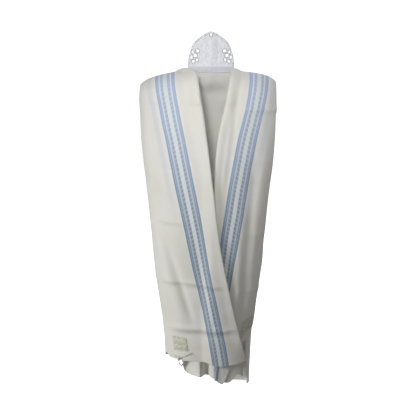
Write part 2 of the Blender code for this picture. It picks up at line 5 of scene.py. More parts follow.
import math
import bpy
import numpy as np
from mathutils.geometry import delaunay_2d_cdt
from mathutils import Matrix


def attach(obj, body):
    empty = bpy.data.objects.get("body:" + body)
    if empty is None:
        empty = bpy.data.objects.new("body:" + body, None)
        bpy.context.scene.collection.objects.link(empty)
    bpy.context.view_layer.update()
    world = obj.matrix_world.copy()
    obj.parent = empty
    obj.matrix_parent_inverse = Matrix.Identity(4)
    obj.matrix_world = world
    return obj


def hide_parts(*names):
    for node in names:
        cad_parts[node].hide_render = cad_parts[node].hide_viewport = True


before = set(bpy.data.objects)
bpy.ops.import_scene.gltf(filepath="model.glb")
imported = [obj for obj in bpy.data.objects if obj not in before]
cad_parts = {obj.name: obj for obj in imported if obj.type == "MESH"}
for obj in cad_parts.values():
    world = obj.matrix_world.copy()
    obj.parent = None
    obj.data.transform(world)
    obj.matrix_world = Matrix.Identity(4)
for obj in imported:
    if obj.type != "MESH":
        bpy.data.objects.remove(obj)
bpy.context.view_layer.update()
print("frame loaded:", len(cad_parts), "nodes")


# Curves and small sums

def rowsOf(columns, *rows):
    # a table: the names of its columns once, then its rows
    return [dict(zip(columns.split(), row)) for row in rows]


def easeStep(low, high, value):
    share = np.clip((np.asarray(value, float) - low) / (high - low), 0.0, 1.0)
    return share * share * (3.0 - 2.0 * share)


def hermite(first, second, slopeAtFirst, slopeAtSecond, t):
    leaving = first * (1 + 2 * t) * (1 - t) ** 2 + slopeAtFirst * t * (1 - t) ** 2
    return leaving + (second * t * t * (3 - 2 * t) + slopeAtSecond * t * t * (t - 1))


def smoothCurve(places, values, at):
    # a cubic through the points that never overshoots them, flat outside
    places, values = np.asarray(places, float), np.asarray(values, float)
    grades = np.diff(values) / np.diff(places)
    before, after = grades[:-1], grades[1:]
    same = before * after > 0
    middles = np.where(same, 2.0 * before * after / np.where(same, before + after, 1.0), 0.0)
    slopes = np.concatenate([grades[:1], middles, grades[-1:]])
    at = np.clip(at, places[0], places[-1])
    i = np.clip(np.searchsorted(places, at, side="right") - 1, 0, len(places) - 2)
    width = places[i + 1] - places[i]
    t = (at - places[i]) / width
    return hermite(values[i], values[i + 1], width * slopes[i], width * slopes[i + 1], t)


def tableCurve(rows, key, name, at):
    return smoothCurve([row[key] for row in rows], [row[name] for row in rows], at)


def pairCurve(pairs, at):
    return smoothCurve(*zip(*pairs), at)


def refined(points, steps):
    # a finer run of points through the given ones, along the first axis
    slopes = np.gradient(points, axis=0)
    parts = [hermite(points[:-1], points[1:], slopes[:-1], slopes[1:], k / steps) for k in range(steps)]
    inner = np.stack(parts, axis=1).reshape((-1,) + points.shape[1:])
    return np.concatenate([inner, points[-1:]])


def evenRun(start, end, step):
    return np.linspace(start, end, max(2, round(abs(end - start) / step) + 1))


def reachAlong(points, axis=0):
    # how far each point is along its line, or along its row or column of a grid
    steps = np.linalg.norm(np.diff(points, axis=axis), axis=-1)
    return np.insert(np.cumsum(steps, axis=axis), 0, 0.0, axis=axis)


def pickAlong(line, reach, at):
    return np.stack([np.interp(at, reach, line[:, axis]) for axis in range(line.shape[1])], axis=-1)


def pathRun(path, step):
    # even steps along a smooth path
    path = np.asarray(path, float)
    reach = reachAlong(path)
    at = evenRun(0.0, reach[-1], step)
    return np.stack([smoothCurve(reach, path[:, axis], at) for axis in range(path.shape[1])], axis=-1)


def unit(vectors):
    return vectors / np.maximum(np.linalg.norm(vectors, axis=-1, keepdims=True), 1e-9)


# The form that the cloth hangs on, from the same sizes as the solids

form = dict(
    cloth=0.0015, seam=0.0003, shoulderHalf=0.217, rimZ=-0.06, rimDepth=0.088,
    ridgeRise=0.092, ridgeFallLeft=0.16, ridgeFallRight=0.05, ridgeNear=0.09,
    capLength=0.139, planRound=2.6, capRound=5.0, frontEdge=0.955,
    underOnBack=0.0060, underInFront=0.0026, lapPull=0.0005, layerGap=0.0042,
    crossingLift=0.0150, crossingDown=(0.10, 0.34), crossingPast=(-0.050, -0.006),
)
bodyRows = rowsOf(
    "z half front back",
    (-1.08, 0.137, 0.094, 0.088),
    (-0.95, 0.140, 0.098, 0.090),
    (-0.86, 0.144, 0.101, 0.092),
    (-0.78, 0.153, 0.104, 0.096),
    (-0.68, 0.165, 0.108, 0.102),
    (-0.58, 0.178, 0.112, 0.110),
    (-0.48, 0.186, 0.116, 0.116),
    (-0.37, 0.195, 0.118, 0.120),
    (-0.24, 0.209, 0.116, 0.118),
    (-0.13, 0.217, 0.106, 0.108),
    (-0.06, 0.217, 0.088, 0.088),
)


def halfWidth(z):
    return tableCurve(bodyRows, "z", "half", z)


def bodyDepth(z, facing):
    return tableCurve(bodyRows, "z", facing, z)


def bulge(share, power):
    return np.maximum(0.0, 1.0 - np.abs(share) ** power) ** (1.0 / power)


def ridgeRise(x):
    rate = np.where(x > 0, form["ridgeFallRight"], form["ridgeFallLeft"])
    fall = rate * np.maximum(0.0, np.abs(x) - form["ridgeNear"])
    return (form["ridgeRise"] - fall) * bulge(x / form["shoulderHalf"], form["capRound"])


def heightAt(along):
    return form["rimZ"] - (np.abs(along) - form["capLength"])


def bodyPoint(x, along):
    x, along = np.broadcast_arrays(np.asarray(x, float), np.asarray(along, float))
    angle = 0.5 * math.pi * np.minimum(np.abs(along), form["capLength"]) / form["capLength"]
    capY = form["rimDepth"] * bulge(x / form["shoulderHalf"], form["planRound"]) * np.sin(angle)
    capZ = form["rimZ"] + ridgeRise(x) * np.cos(angle)
    fallZ = heightAt(along)
    depth = np.where(along >= 0, bodyDepth(fallZ, "front"), bodyDepth(fallZ, "back"))
    fallY = depth * bulge(x / halfWidth(fallZ), form["planRound"])
    onCap = np.abs(along) < form["capLength"]
    y = np.where(along >= 0, -1.0, 1.0) * np.where(onCap, capY, fallY)
    return np.stack([x, y, np.where(onCap, capZ, fallZ)], axis=-1)


def halfAt(along):
    return np.where(np.abs(along) < form["capLength"], form["shoulderHalf"], halfWidth(heightAt(along)))


def outward(x, along):
    small = 0.002
    limit = 0.99 * halfAt(along)
    right, left = np.minimum(limit, x + small), np.maximum(-limit, x - small)
    across = bodyPoint(right, along) - bodyPoint(left, along)
    down = bodyPoint(x, along + small) - bodyPoint(x, along - small)
    return unit(np.cross(down, across))


def outerX(side, along):
    return side * form["frontEdge"] * halfAt(along)


# The two fronts: inner edge, roll and hem of each, and where its stripes run

frontRows = {
    -1: dict(
        name="left",
        edge=rowsOf(
            "along x roll",
            (-0.190, -0.104, 0.0040), (-0.060, -0.091, 0.0050),
            (0.000, -0.074, 0.0070), (0.030, -0.044, 0.0080),
            (0.090, -0.034, 0.0080), (0.190, -0.017, 0.0075),
            (0.300, -0.002, 0.0065), (0.430, 0.016, 0.0045),
            (0.560, 0.032, 0.0030), (0.760, 0.068, 0.0028),
            (0.986, 0.112, 0.0028),
        ),
        hemTop=[(0.00, 0.960), (0.06, 0.980), (0.50, 0.982), (0.70, 0.992), (1.00, 0.986)],
        hemUnder=[(0.00, 0.950), (0.12, 0.972), (0.50, 0.972), (1.00, 0.986)],
        stripe=[
            (-0.19, -0.136), (0.0, -0.134), (0.061, -0.132), (0.15, -0.119), (0.242, -0.10), (0.368, -0.076),
            (0.497, -0.050), (0.629, -0.025), (0.764, 0.003), (0.903, 0.031), (0.981, 0.043),
        ],
    ),
    1: dict(
        name="right",
        edge=rowsOf(
            "along x roll",
            (-0.135, 0.112, 0.0040), (-0.050, 0.104, 0.0050),
            (0.000, 0.083, 0.0065), (0.070, 0.072, 0.0070),
            (0.150, 0.056, 0.0065), (0.240, 0.036, 0.0055),
            (0.360, 0.025, 0.0045), (0.560, 0.022, 0.0040),
            (1.060, 0.025, 0.0040),
        ),
        hemTop=[(0.00, 0.902), (0.30, 0.935), (0.55, 1.000), (0.80, 1.066), (1.00, 1.050)],
        hemUnder=[(0.00, 1.052), (0.12, 1.056), (0.30, 1.038), (0.60, 1.064), (1.00, 1.050)],
        stripe=[
            (-0.135, 0.162), (0.0, 0.160), (0.062, 0.157), (0.150, 0.143), (0.242, 0.121), (0.368, 0.098),
            (0.497, 0.078), (0.629, 0.056), (0.900, 0.004), (1.000, -0.018), (1.066, -0.044),
        ],
    ),
}
frontCut = dict(
    step=0.0044, rollSteps=14, nearRoll=0.96, pin=0.55, hem=1.0,
    wall=0.0012, hemWide=0.010, hemTurn=0.001, hemWall=0.0018, across=0.22, rollReach=4.5,
    narrows=0.13, narrowsDown=(0.35, 0.85), flat={-1: (0.46, 1.18), 1: (0.365, 1.16)},
)

# Press creases and soft folds: each from one place to another, as along and across (x), with its
# reach to each side and its height, a trough where it is negative
lineColumns = "start end wide high"
creases = {
    -1: rowsOf(
        lineColumns,
        ((0.498, -0.176), (0.506, -0.060), 0.006, 0.0034),
        ((0.512, -0.172), (0.520, -0.085), 0.007, -0.0014),
        ((0.698, -0.158), (0.716, 0.074), 0.006, 0.0046),
        ((0.714, -0.158), (0.732, 0.068), 0.009, -0.0024),
        ((0.864, -0.132), (0.866, 0.108), 0.007, 0.0060),
        ((0.884, -0.132), (0.886, 0.108), 0.010, -0.0034),
        ((0.330, -0.190), (0.342, -0.020), 0.008, -0.0016),
        ((0.205, -0.205), (0.212, -0.060), 0.007, 0.0016),
        ((0.610, -0.150), (0.590, -0.060), 0.008, 0.0014),
        ((0.800, -0.060), (0.782, 0.070), 0.009, -0.0014),
        ((0.945, -0.105), (0.938, 0.020), 0.006, -0.0012),
    ),
    1: rowsOf(
        lineColumns,
        ((0.152, 0.104), (0.157, 0.220), 0.006, 0.0048),
        ((0.170, 0.112), (0.174, 0.216), 0.008, -0.0024),
        ((0.303, 0.050), (0.309, 0.205), 0.007, 0.0020),
        ((0.400, 0.060), (0.380, 0.190), 0.008, -0.0016),
        ((0.470, 0.060), (0.492, 0.180), 0.007, 0.0016),
        ((0.552, 0.050), (0.548, 0.185), 0.007, 0.0024),
        ((0.640, 0.070), (0.655, 0.170), 0.008, -0.0018),
        ((0.734, 0.080), (0.740, 0.170), 0.007, 0.0026),
        ((0.889, 0.090), (0.886, 0.150), 0.007, -0.0022),
    ),
}
folds = {
    -1: rowsOf(
        lineColumns,
        ((0.440, -0.172), (0.870, -0.040), 0.011, -0.0060),
        ((0.520, -0.165), (0.900, -0.070), 0.018, 0.0044),
        ((0.090, -0.178), (0.560, -0.150), 0.015, -0.0034),
        ((0.160, -0.075), (0.620, 0.000), 0.018, 0.0026),
        ((0.060, -0.070), (0.330, -0.040), 0.013, -0.0026),
        ((0.640, 0.030), (0.960, 0.085), 0.014, -0.0024),
    ),
    1: rowsOf(
        lineColumns,
        ((0.180, 0.185), (0.700, 0.130), 0.020, 0.0046),
        ((0.240, 0.150), (0.900, 0.105), 0.014, -0.0050),
        ((0.420, 0.110), (0.980, 0.075), 0.015, 0.0040),
        ((0.060, 0.098), (0.420, 0.052), 0.012, -0.0030),
        ((0.130, 0.078), (0.420, 0.042), 0.010, 0.0026),
    ),
}


def edgeCurve(side, name, along):
    return tableCurve(frontRows[side]["edge"], "along", name, along)


def crossingLift(side, x, along):
    # the left front's rise over the right one, where they cross
    if side > 0:
        return 0.0
    past = easeStep(*form["crossingPast"], x - edgeCurve(1, "x", along))
    return form["crossingLift"] * easeStep(*form["crossingDown"], along) * past


def frontPoint(side, x, along, height):
    lift = np.asarray(height + crossingLift(side, x, along))
    return bodyPoint(x, along) + outward(x, along) * lift[..., None]


def underHeight(along):
    near, far = form["underOnBack"], form["underInFront"]
    return near + (far - near) * easeStep(0.10, 0.24, along)


def lineHeights(rows, x, along, sharp):
    # the height of a set of creases (sharp) or folds at a place
    total = np.zeros(np.broadcast(x, along).shape)
    for row in rows:
        (a0, x0), (a1, x1) = row["start"], row["end"]
        length = math.hypot(a1 - a0, x1 - x0)
        run = ((along - a0) * (a1 - a0) + (x - x0) * (x1 - x0)) / length ** 2
        off = ((along - a0) * (x1 - x0) - (x - x0) * (a1 - a0)) / length / row["wide"]
        fade = easeStep(0.0, 0.22, run) * easeStep(1.0, 0.78, run)
        total = total + row["high"] * fade * np.exp(1.0 - np.sqrt(off ** 2 + 1.0) if sharp else -(off ** 2))
    return total


def waviness(x, along, seed):
    # slow, slight unevenness of worn wool
    shares = np.random.default_rng(seed).uniform(0.0, 2.0 * math.pi, 6)
    swell = np.sin(along * 19.0 + x * 31.0 + shares[0]) + np.sin(along * 34.0 - x * 47.0 + shares[1])
    ripple = np.sin(along * 63.0 + x * 22.0 + shares[2]) + np.sin(along * 47.0 - x * 95.0 + shares[3])
    return 0.00045 * swell + 0.00022 * ripple


def stretchTo(nominal, hemHere):
    # places below the pin are stretched so that the last one meets the hem
    pin = frontCut["pin"]
    stretched = pin + (nominal - pin) * (hemHere - pin) / (frontCut["hem"] - pin)
    return np.where(nominal <= pin, nominal, stretched)


def layerPlace(side, nominal, share, layer):
    # x, along and height of a place on the top layer (1) or on the one under it (0)
    rows = frontRows[side]
    along = stretchTo(nominal, pairCurve(rows["hemTop"] if layer else rows["hemUnder"], share))
    outer, inner = outerX(side, along), edgeCurve(side, "x", along)
    roll = edgeCurve(side, "roll", along)
    near = easeStep(frontCut["rollReach"] * roll, 0.0, (1.0 - share) * np.abs(inner - outer))
    gap = form["layerGap"] + (2.0 * roll - form["layerGap"]) * near
    return outer + (inner - outer) * share, along, underHeight(along) + gap * layer


def rollPlace(side, nominal, degrees):
    along = stretchTo(nominal, frontRows[side]["hemTop"][-1][1])
    roll = edgeCurve(side, "roll", along)
    turn = math.radians(degrees)
    x = edgeCurve(side, "x", along) - side * roll * math.cos(turn)
    return x, along, underHeight(along) + roll * (1.0 + math.sin(turn))


def asGrids(columns):
    # columns of places as three grids: x, along and height
    return [np.stack(part, axis=1) for part in zip(*columns)]


def topPlaces(side, nominals, shares):
    return asGrids([layerPlace(side, nominals, share, 1) for share in shares])


def drapedHeight(side, x, along, height):
    creased = lineHeights(creases[side], x, along, True) + lineHeights(folds[side], x, along, False)
    quiet = easeStep(0.02, 0.14, along)
    return height + (creased + waviness(x, along, 11 + side)) * (0.25 + 0.75 * quiet)


def drapedPoint(side, x, along, height):
    return frontPoint(side, x, along, drapedHeight(side, x, along, height))


def gridNormals(grid):
    return unit(np.cross(np.gradient(grid, axis=0), np.gradient(grid, axis=1)))


def facingOut(side, *grids):
    # the left side's grids run the other way, so that its faces point out as well
    return [grid[:, ::-1] for grid in grids] if side < 0 else grids


def hemmedWall(toHem):
    # the cloth's wall, thicker where the hem is turned in
    start, end = frontCut["hemWide"] + frontCut["hemTurn"], frontCut["hemWide"] - frontCut["hemTurn"]
    return frontCut["wall"] + (frontCut["hemWall"] - frontCut["wall"]) * easeStep(start, end, toHem)


# Meshes

def linked(name, data):
    made = bpy.data.objects.new(name, data)
    bpy.context.scene.collection.objects.link(made)
    return made


def linkMesh(name, points, faces, material, uv=None):
    mesh = bpy.data.meshes.new(name)
    mesh.from_pydata([tuple(p) for p in points], [], [tuple(f) for f in faces])
    mesh.validate()
    if uv is not None:
        layer = mesh.uv_layers.new(name="cloth")
        loops = np.zeros(len(mesh.loops), dtype=np.int32)
        mesh.loops.foreach_get("vertex_index", loops)
        layer.data.foreach_set("uv", np.asarray(uv, dtype=np.float32)[loops].ravel())
    mesh.materials.append(material)
    mesh.shade_smooth()
    return linked(name, mesh)


def dress(piece, slot, *nodes):
    # every piece rides on the root, and most stand for solids, which are hidden
    if nodes:
        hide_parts(*nodes)
    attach(piece, "root")
    return piece


def clothShell(name, grid, normals, wall, uv, material):
    # a closed shell of cloth on a grid of points: two faces and a narrow rim all round
    rows, columns = grid.shape[:2]
    half = np.broadcast_to(np.asarray(wall, float) / 2, (rows, columns))[..., None]
    points = np.stack([grid + normals * half, grid - normals * half]).reshape(-1, 3)
    index = np.arange(rows * columns).reshape(rows, columns)
    far = index + rows * columns
    a, b, c, d = index[:-1, :-1], index[1:, :-1], index[1:, 1:], index[:-1, 1:]
    faces = [[a, b, c, d], [far[:-1, :-1], far[:-1, 1:], far[1:, 1:], far[1:, :-1]]]
    for edge in (np.s_[:, 0], np.s_[-1]):
        near, back = index[edge], far[edge]
        faces.append([near[:-1], back[:-1], back[1:], near[1:]])
    for edge in (np.s_[:, -1], np.s_[0]):
        near, back = index[edge], far[edge]
        faces.append([near[1:], back[1:], back[:-1], near[:-1]])
    quads = np.concatenate([np.stack(corners, -1).reshape(-1, 4) for corners in faces])
    made = linkMesh(name, points, quads.tolist(), material, np.tile(uv.reshape(-1, 2), (2, 1)))
    made.data.set_sharp_from_angle(angle=math.radians(70))
    return made


class PartList:
    # points and faces of many small things, joined as one mesh
    def __init__(self):
        self.points = []
        self.faces = []
        self.count = 0

    def add(self, points, faces):
        self.points.append(np.asarray(points).reshape(-1, 3))
        self.faces += [[i + self.count for i in face] for face in faces]
        self.count += len(self.points[-1])

    def tube(self, path, radius, sides=6, plies=0, turn=0.0):
        # a closed tube along a path; plies makes it a twisted yarn of that many strands
        path = np.asarray(path, float)
        ahead = unit(np.gradient(path, axis=0))
        guide = np.array([0.0, 0.0, 1.0]) if abs(ahead[0][2]) < 0.9 else np.array([1.0, 0.0, 0.0])
        across = [unit(np.cross(ahead[0], guide))]
        for way in ahead[1:]:
            across.append(unit(across[-1] - way * np.dot(across[-1], way)))
        across = np.array(across)
        other = np.cross(ahead, across)
        angles = np.arange(sides) * 2.0 * math.pi / sides
        radii = np.broadcast_to(np.asarray(radius, float), (len(path),))[:, None] * np.ones((1, sides))
        if plies:
            reach = reachAlong(path)[:, None]
            radii = radii * (0.86 + 0.14 * np.cos(plies * (angles[None, :] - turn * reach)))
        rings = path[:, None] + radii[..., None] * (
            np.cos(angles)[None, :, None] * across[:, None] + np.sin(angles)[None, :, None] * other[:, None]
        )
        index = np.arange(len(path) * sides).reshape(-1, sides)
        after = np.roll(index, -1, axis=1)
        faces = np.stack([index[:-1], after[:-1], after[1:], index[1:]], axis=-1).reshape(-1, 4)
        self.add(rings, [*faces.tolist(), index[0, ::-1].tolist(), index[-1].tolist()])

    def made(self, name, material):
        return linkMesh(name, np.concatenate(self.points), self.faces, material)


# Shader maths

class Wire:
    # one output of a node, so that sums on it read as sums
    def __init__(self, shade, socket):
        self.shade = shade
        self.socket = socket

    def sum(self, operation, first, second=0.0):
        return self.shade.node("ShaderNodeMath", dict(operation=operation), {0: first, 1: second})

    def __add__(self, other):
        return self.sum("ADD", self, other)

    def __radd__(self, other):
        return self.sum("ADD", other, self)

    def __sub__(self, other):
        return self.sum("SUBTRACT", self, other)

    def __rsub__(self, other):
        return self.sum("SUBTRACT", other, self)

    def __mul__(self, other):
        return self.sum("MULTIPLY", self, other)

    def sine(self):
        return self.sum("SINE", self)

    def size(self):
        return self.sum("ABSOLUTE", self)


class Shade:
    # one material and the nodes that feed it
    def __init__(self, name, roughness, sheen):
        self.material = bpy.data.materials.new(name)
        self.material.use_nodes = True
        self.tree = self.material.node_tree
        self.surface = self.tree.nodes["Principled BSDF"]
        looks = {"Roughness": roughness, "Sheen Weight": sheen, "Sheen Roughness": 0.5}
        self.feed(self.surface, {"Specular IOR Level": 0.25, **looks})

    def feed(self, node, sockets):
        for key, value in sockets.items():
            if isinstance(value, Wire):
                self.tree.links.new(value.socket, node.inputs[key])
            else:
                # colours are given without an alpha
                node.inputs[key].default_value = (*value, 1.0) if isinstance(value, tuple) else value

    def node(self, kind, settings, sockets, out=0):
        made = self.tree.nodes.new(kind)
        for key, value in settings.items():
            setattr(made, key, value)
        self.feed(made, sockets)
        return Wire(self, made.outputs[out])

    def rise(self, value, low, high):
        limits = {"Value": value, "From Min": low, "From Max": high}
        return self.node("ShaderNodeMapRange", dict(interpolation_type="SMOOTHSTEP"), limits)

    def band(self, value, low, high, soft):
        return self.rise(value, low - soft, low + soft) - self.rise(value, high - soft, high + soft)

    def mix(self, share, first, second):
        settings = dict(data_type="RGBA", clamp_factor=True)
        return self.node("ShaderNodeMix", settings, {0: share, 6: first, 7: second}, out=2)

    def noise(self, where, scale, detail=3.0):
        return self.node("ShaderNodeTexNoise", {}, {"Vector": where, "Scale": scale, "Detail": detail})

    def clothPlace(self):
        where = self.node("ShaderNodeUVMap", dict(uv_map="cloth"), {})
        return [where] + [self.node("ShaderNodeSeparateXYZ", {}, {0: where}, out=axis) for axis in range(2)]

    def finish(self, colour, roughness, relief, depth):
        bump = self.node("ShaderNodeBump", {}, {"Height": relief, "Strength": 1.0, "Distance": depth})
        self.feed(self.surface, {"Base Color": colour, "Roughness": roughness, "Normal": bump})
        return self.material


clothLook = dict(
    striped=((0.75, 0.742, 0.70), (0.73, 0.71, 0.635)),
    # the back's plain wool is painted lighter than the same wool of the fronts: painted light for the back's
    # inside, which hangs in shade
    plain=((0.85, 0.845, 0.80), (0.82, 0.805, 0.74)),
    pale=(0.775, 0.795, 0.815), leaf=(0.71, 0.745, 0.75), silver=(0.64, 0.68, 0.70),
    faint=(0.60, 0.62, 0.70),
    # the stripes' colours, lit near the shoulder and with painted shade lower down, and where the painted
    # shade deepens
    blue=((0.40, 0.48, 0.68), (0.20, 0.28, 0.38)),
    line=((0.49, 0.56, 0.69), (0.34, 0.40, 0.47)),
    dash=((0.37, 0.43, 0.56), (0.21, 0.26, 0.34)),
    between=((0.69, 0.74, 0.83), (0.46, 0.52, 0.58)),
    deepens=(-0.05, 0.62), deepening=("blue", "line", "dash", "between"), roughness=0.84, sheen=0.15,
    slubs=110.0, grain=260.0, clouds=7.0, dashRepeat=0.0135, dashSlant=0.0006, twill=0.0011,
    # in mm from the middle of the group: the thin place in each wide line, and the single faint line
    streak=(24.2, 26.2), single=(-61.0, -44.0), singleEnds=(0.25, 0.60),
)
# in mm from the middle of the group, to both sides
stripes = rowsOf(
    "name low high soft strength",
    ("between", 6.6, 20.8, 0.8, 1.0),
    ("centre", -6.6, 6.6, 0.8, 1.0),
    ("pattern", 6.6, 15.4, 0.9, 1.0),
    ("wide", 20.8, 31.4, 0.8, 1.0),
    ("halo", 31.4, 36.5, 1.5, 0.5),
)


def clothMaterial(name, kind):
    look = clothLook
    shade = Shade(name, look["roughness"], look["sheen"])
    where, across, along = shade.clothPlace()
    twist = 2.0 * math.pi / look["twill"]
    weave = ((across + along) * twist * 0.7).sine() * 0.5 + 0.5
    threads = (across * twist * 1.7).sine() * (along * twist * 1.7).sine()
    slubs, grain, clouds = [shade.noise(where, look[key]) for key in ("slubs", "grain", "clouds")]
    colour = shade.mix(shade.rise(clouds, 0.35, 0.70), *look[kind])
    if kind == "striped":
        off = across * 1000.0
        away = off.size()
        # painted shade: the stripes darken down the front and their dashes show more, from the shoulder's
        # lit colours to shaded ones
        paintedShadeDown = shade.rise(along, *look["deepens"])
        blue, line, dash, between = [shade.mix(paintedShadeDown, *look[tone]) for tone in look["deepening"]]
        beat = ((along + off * look["dashSlant"]) * (2.0 * math.pi / look["dashRepeat"])).sine()
        dashes = shade.rise(beat + (slubs - 0.5) * 2.0, -0.3, 0.8) * (0.50 + paintedShadeDown * 0.35)
        centre = shade.mix(dashes * 0.7, look["leaf"], look["silver"])
        pattern = shade.mix(dashes, line, dash)
        tones = dict(between=between, centre=centre, pattern=pattern, wide=blue, halo=look["pale"])
        thin = dict(wide=1.0 - shade.band(away, *look["streak"], 0.8) * 0.35)
        for stripe in stripes:
            share = shade.band(away, stripe["low"], stripe["high"], stripe["soft"]) * stripe["strength"]
            colour = shade.mix(share * thin.get(stripe["name"], 1.0), colour, tones[stripe["name"]])
        single = shade.band(off, *look["single"], 3.0) * (1.0 - shade.rise(along, *look["singleEnds"])) * 0.5
        colour = shade.mix(single, colour, look["faint"])
    colour = shade.mix((slubs - 0.5) * 0.5, colour, look["pale"])
    colour = shade.mix(shade.rise(grain, 0.50, 0.72) * 0.14, colour, look["silver"])
    relief = weave * 0.3 + threads * 0.15 + slubs * 0.35 + grain * 0.35
    return shade.finish(colour, look["roughness"] - 0.06 + slubs * 0.12, relief, 0.00035)


laceLook = dict(
    # net is painted shade: the darkness seen through the open mesh, not a colour of the thread
    thread=(0.87, 0.88, 0.92), deep=(0.80, 0.81, 0.86), net=(0.50, 0.52, 0.57),
    roughness=0.62, sheen=0.1, netRate=1500.0,
)


def laceMaterial():
    # the open net is painted darker in the rim, round the openings and behind the scrolls: painted shade
    # seen through the mesh
    shade = Shade("corded_lace", laceLook["roughness"], laceLook["sheen"])
    where, across, up = shade.clothPlace()
    openly = shade.node("ShaderNodeAttribute", dict(attribute_name="openly"), {}, out=2)
    net = ((across + up) * laceLook["netRate"]).sine() * ((across - up) * laceLook["netRate"]).sine()
    flecks = shade.noise(where, 300.0)
    soft = shade.noise(where, 60.0)
    colour = shade.mix(shade.rise(soft + net * 0.12, 0.42, 0.60), laceLook["deep"], laceLook["thread"])
    # painted shade where the lace is open
    colour = shade.mix(openly * shade.rise(net, 0.5, -0.5), colour, laceLook["net"])
    relief = net * (0.3 + openly * 0.7) + flecks * 0.4 + soft
    return shade.finish(colour, laceLook["roughness"] + flecks * 0.1, relief, 0.0007)


def threadMaterial(name, light, dark, scale, roughness=0.8):
    shade = Shade(name, roughness, 0.2)
    where = shade.node("ShaderNodeTexCoord", {}, {}, out=3)
    fuzz = shade.noise(where, scale, 4.0)
    colour = shade.mix(shade.rise(fuzz, 0.3, 0.7), dark, light)
    return shade.finish(colour, roughness - 0.05 + fuzz * 0.1, fuzz, 0.0003)


cloths = dict(
    striped=clothMaterial("striped_wool", "striped"),
    plain=clothMaterial("plain_wool_painted_light", "plain"),
    lace=laceMaterial(),
    cording=threadMaterial("lace_cord", (0.84, 0.85, 0.89), (0.66, 0.68, 0.73), 500.0, 0.6),
    patch=threadMaterial("ribbed_patch", (0.72, 0.715, 0.62), (0.46, 0.465, 0.36), 170.0),
    cord=threadMaterial("fringe_wool", (0.84, 0.82, 0.74), (0.64, 0.60, 0.49), 700.0),
    thread=threadMaterial("sewing_thread", (0.70, 0.69, 0.64), (0.58, 0.57, 0.51), 900.0),
)
print("materials made:", len(cloths))


# Fronts

def frontUv(side, grid, x, along, topCount):
    # across is measured round the row from the middle of the stripes, along down the row
    reach = reachAlong(grid, 1)
    centres = pairCurve(frontRows[side]["stripe"], along[:, 0])
    rows = zip(-side * centres, -side * x[:, :topCount], reach[:, :topCount])
    zero = np.array([np.interp(*row) for row in rows])
    beyond = np.maximum(0.0, side * (x[:, topCount - 1] - centres))
    narrow = 1.0 + frontCut["narrows"] * easeStep(*frontCut["narrowsDown"], along)
    return np.stack([(reach - (zero + beyond)[:, None]) * narrow, along], axis=-1)


def makeFront(side):
    # the top layer, the roll and the layer under it are one sheet
    rows, shareStep = frontRows[side], frontCut["step"] / frontCut["across"]
    nominals = evenRun(rows["edge"][0]["along"], frontCut["hem"], frontCut["step"])
    shares = evenRun(0.0, frontCut["nearRoll"], shareStep)
    columns = [layerPlace(side, nominals, share, 1) for share in shares]
    columns += [rollPlace(side, nominals, turn) for turn in np.linspace(90, -90, frontCut["rollSteps"])]
    columns += [layerPlace(side, nominals, share, 0) for share in shares[::-1]]
    x, along, height = asGrids(columns)
    grid = drapedPoint(side, x, along, height)
    print(f"{rows['name']} front: {reachAlong(grid, 1)[:, -1].mean():.3f} m round")
    wall = hemmedWall(np.minimum(along[-1] - along, along - along[0]))
    uv = frontUv(side, grid, x, along, len(shares))
    parts = facingOut(side, grid, gridNormals(grid) * -side, wall, uv)
    made = clothShell(f"{rows['name']}_front", *parts, cloths["striped"])
    return dress(made, "cloth", f"front_{rows['name']}")


fronts = {side: makeFront(side) for side in (-1, 1)}
print("fronts made")


# Back

backCut = dict(
    angles=[
        -110, -106, -102, -98, -94, -90, -85, -79, -73, -67, -60, -51, -42, -36, -30, -24, -18, -12, -6,
        0, 6, 12, 18, 24, 30, 36, 48, 54, 60, 67, 73, 79, 85, 90, 94, 98, 102, 106, 110,
    ],
    neckAngle=36, sideAngle=70, sideTop=[(70, -0.004), (90, -0.014), (110, -0.030)],
    reaches=[0.028, 0.056, 0.084, 0.112],
    shares=[0.0, 0.05, 0.11, 0.17, 0.23, 0.29, 0.36, 0.43, 0.50, 0.57, 0.64, 0.71, 0.78, 0.85, 0.92, 1.0],
    hem=[
        (-1.00, -0.880), (-0.82, -0.912), (-0.70, -0.938), (-0.60, -0.952), (-0.46, -0.985),
        (-0.34, -1.042), (0.20, -1.052), (0.70, -1.046), (1.00, -0.985),
    ],
    foldRate=9.5, foldStart=0.6, foldDepth=0.016, foldTop=-0.30, finer=(7, 4), flat=(0.67, 1.08),
)
neck = dict(
    x=0.010, base=0.034, clothTop=0.043, y=0.048, sweep=0.016, crease=0.006, creaseWide=0.022, lean=0.006,
    tabHalf=0.0775, lap=0.014, seam=0.0005, half=0.0755, lace=0.0018,
    outline=[
        (0.000, 0.165), (0.012, 0.161), (0.025, 0.154), (0.041, 0.143),
        (0.055, 0.130), (0.064, 0.112), (0.071, 0.090), (0.0755, 0.066),
    ],
)
backCreases = rowsOf(
    lineColumns,
    ((-0.230, -0.150), (-0.236, 0.160), 0.007, 0.0014),
    ((-0.440, -0.190), (-0.432, 0.185), 0.008, -0.0013),
    ((-0.640, -0.170), (-0.652, 0.170), 0.007, 0.0016),
    ((-0.845, -0.130), (-0.838, 0.140), 0.007, -0.0012),
)


def neckDepth(x):
    off = (x - neck["x"]) / neck["half"]
    crease = neck["crease"] * np.maximum(0.0, 1.0 - np.abs(x - neck["x"]) / neck["creaseWide"])
    return neck["y"] + neck["sweep"] * off * off - crease


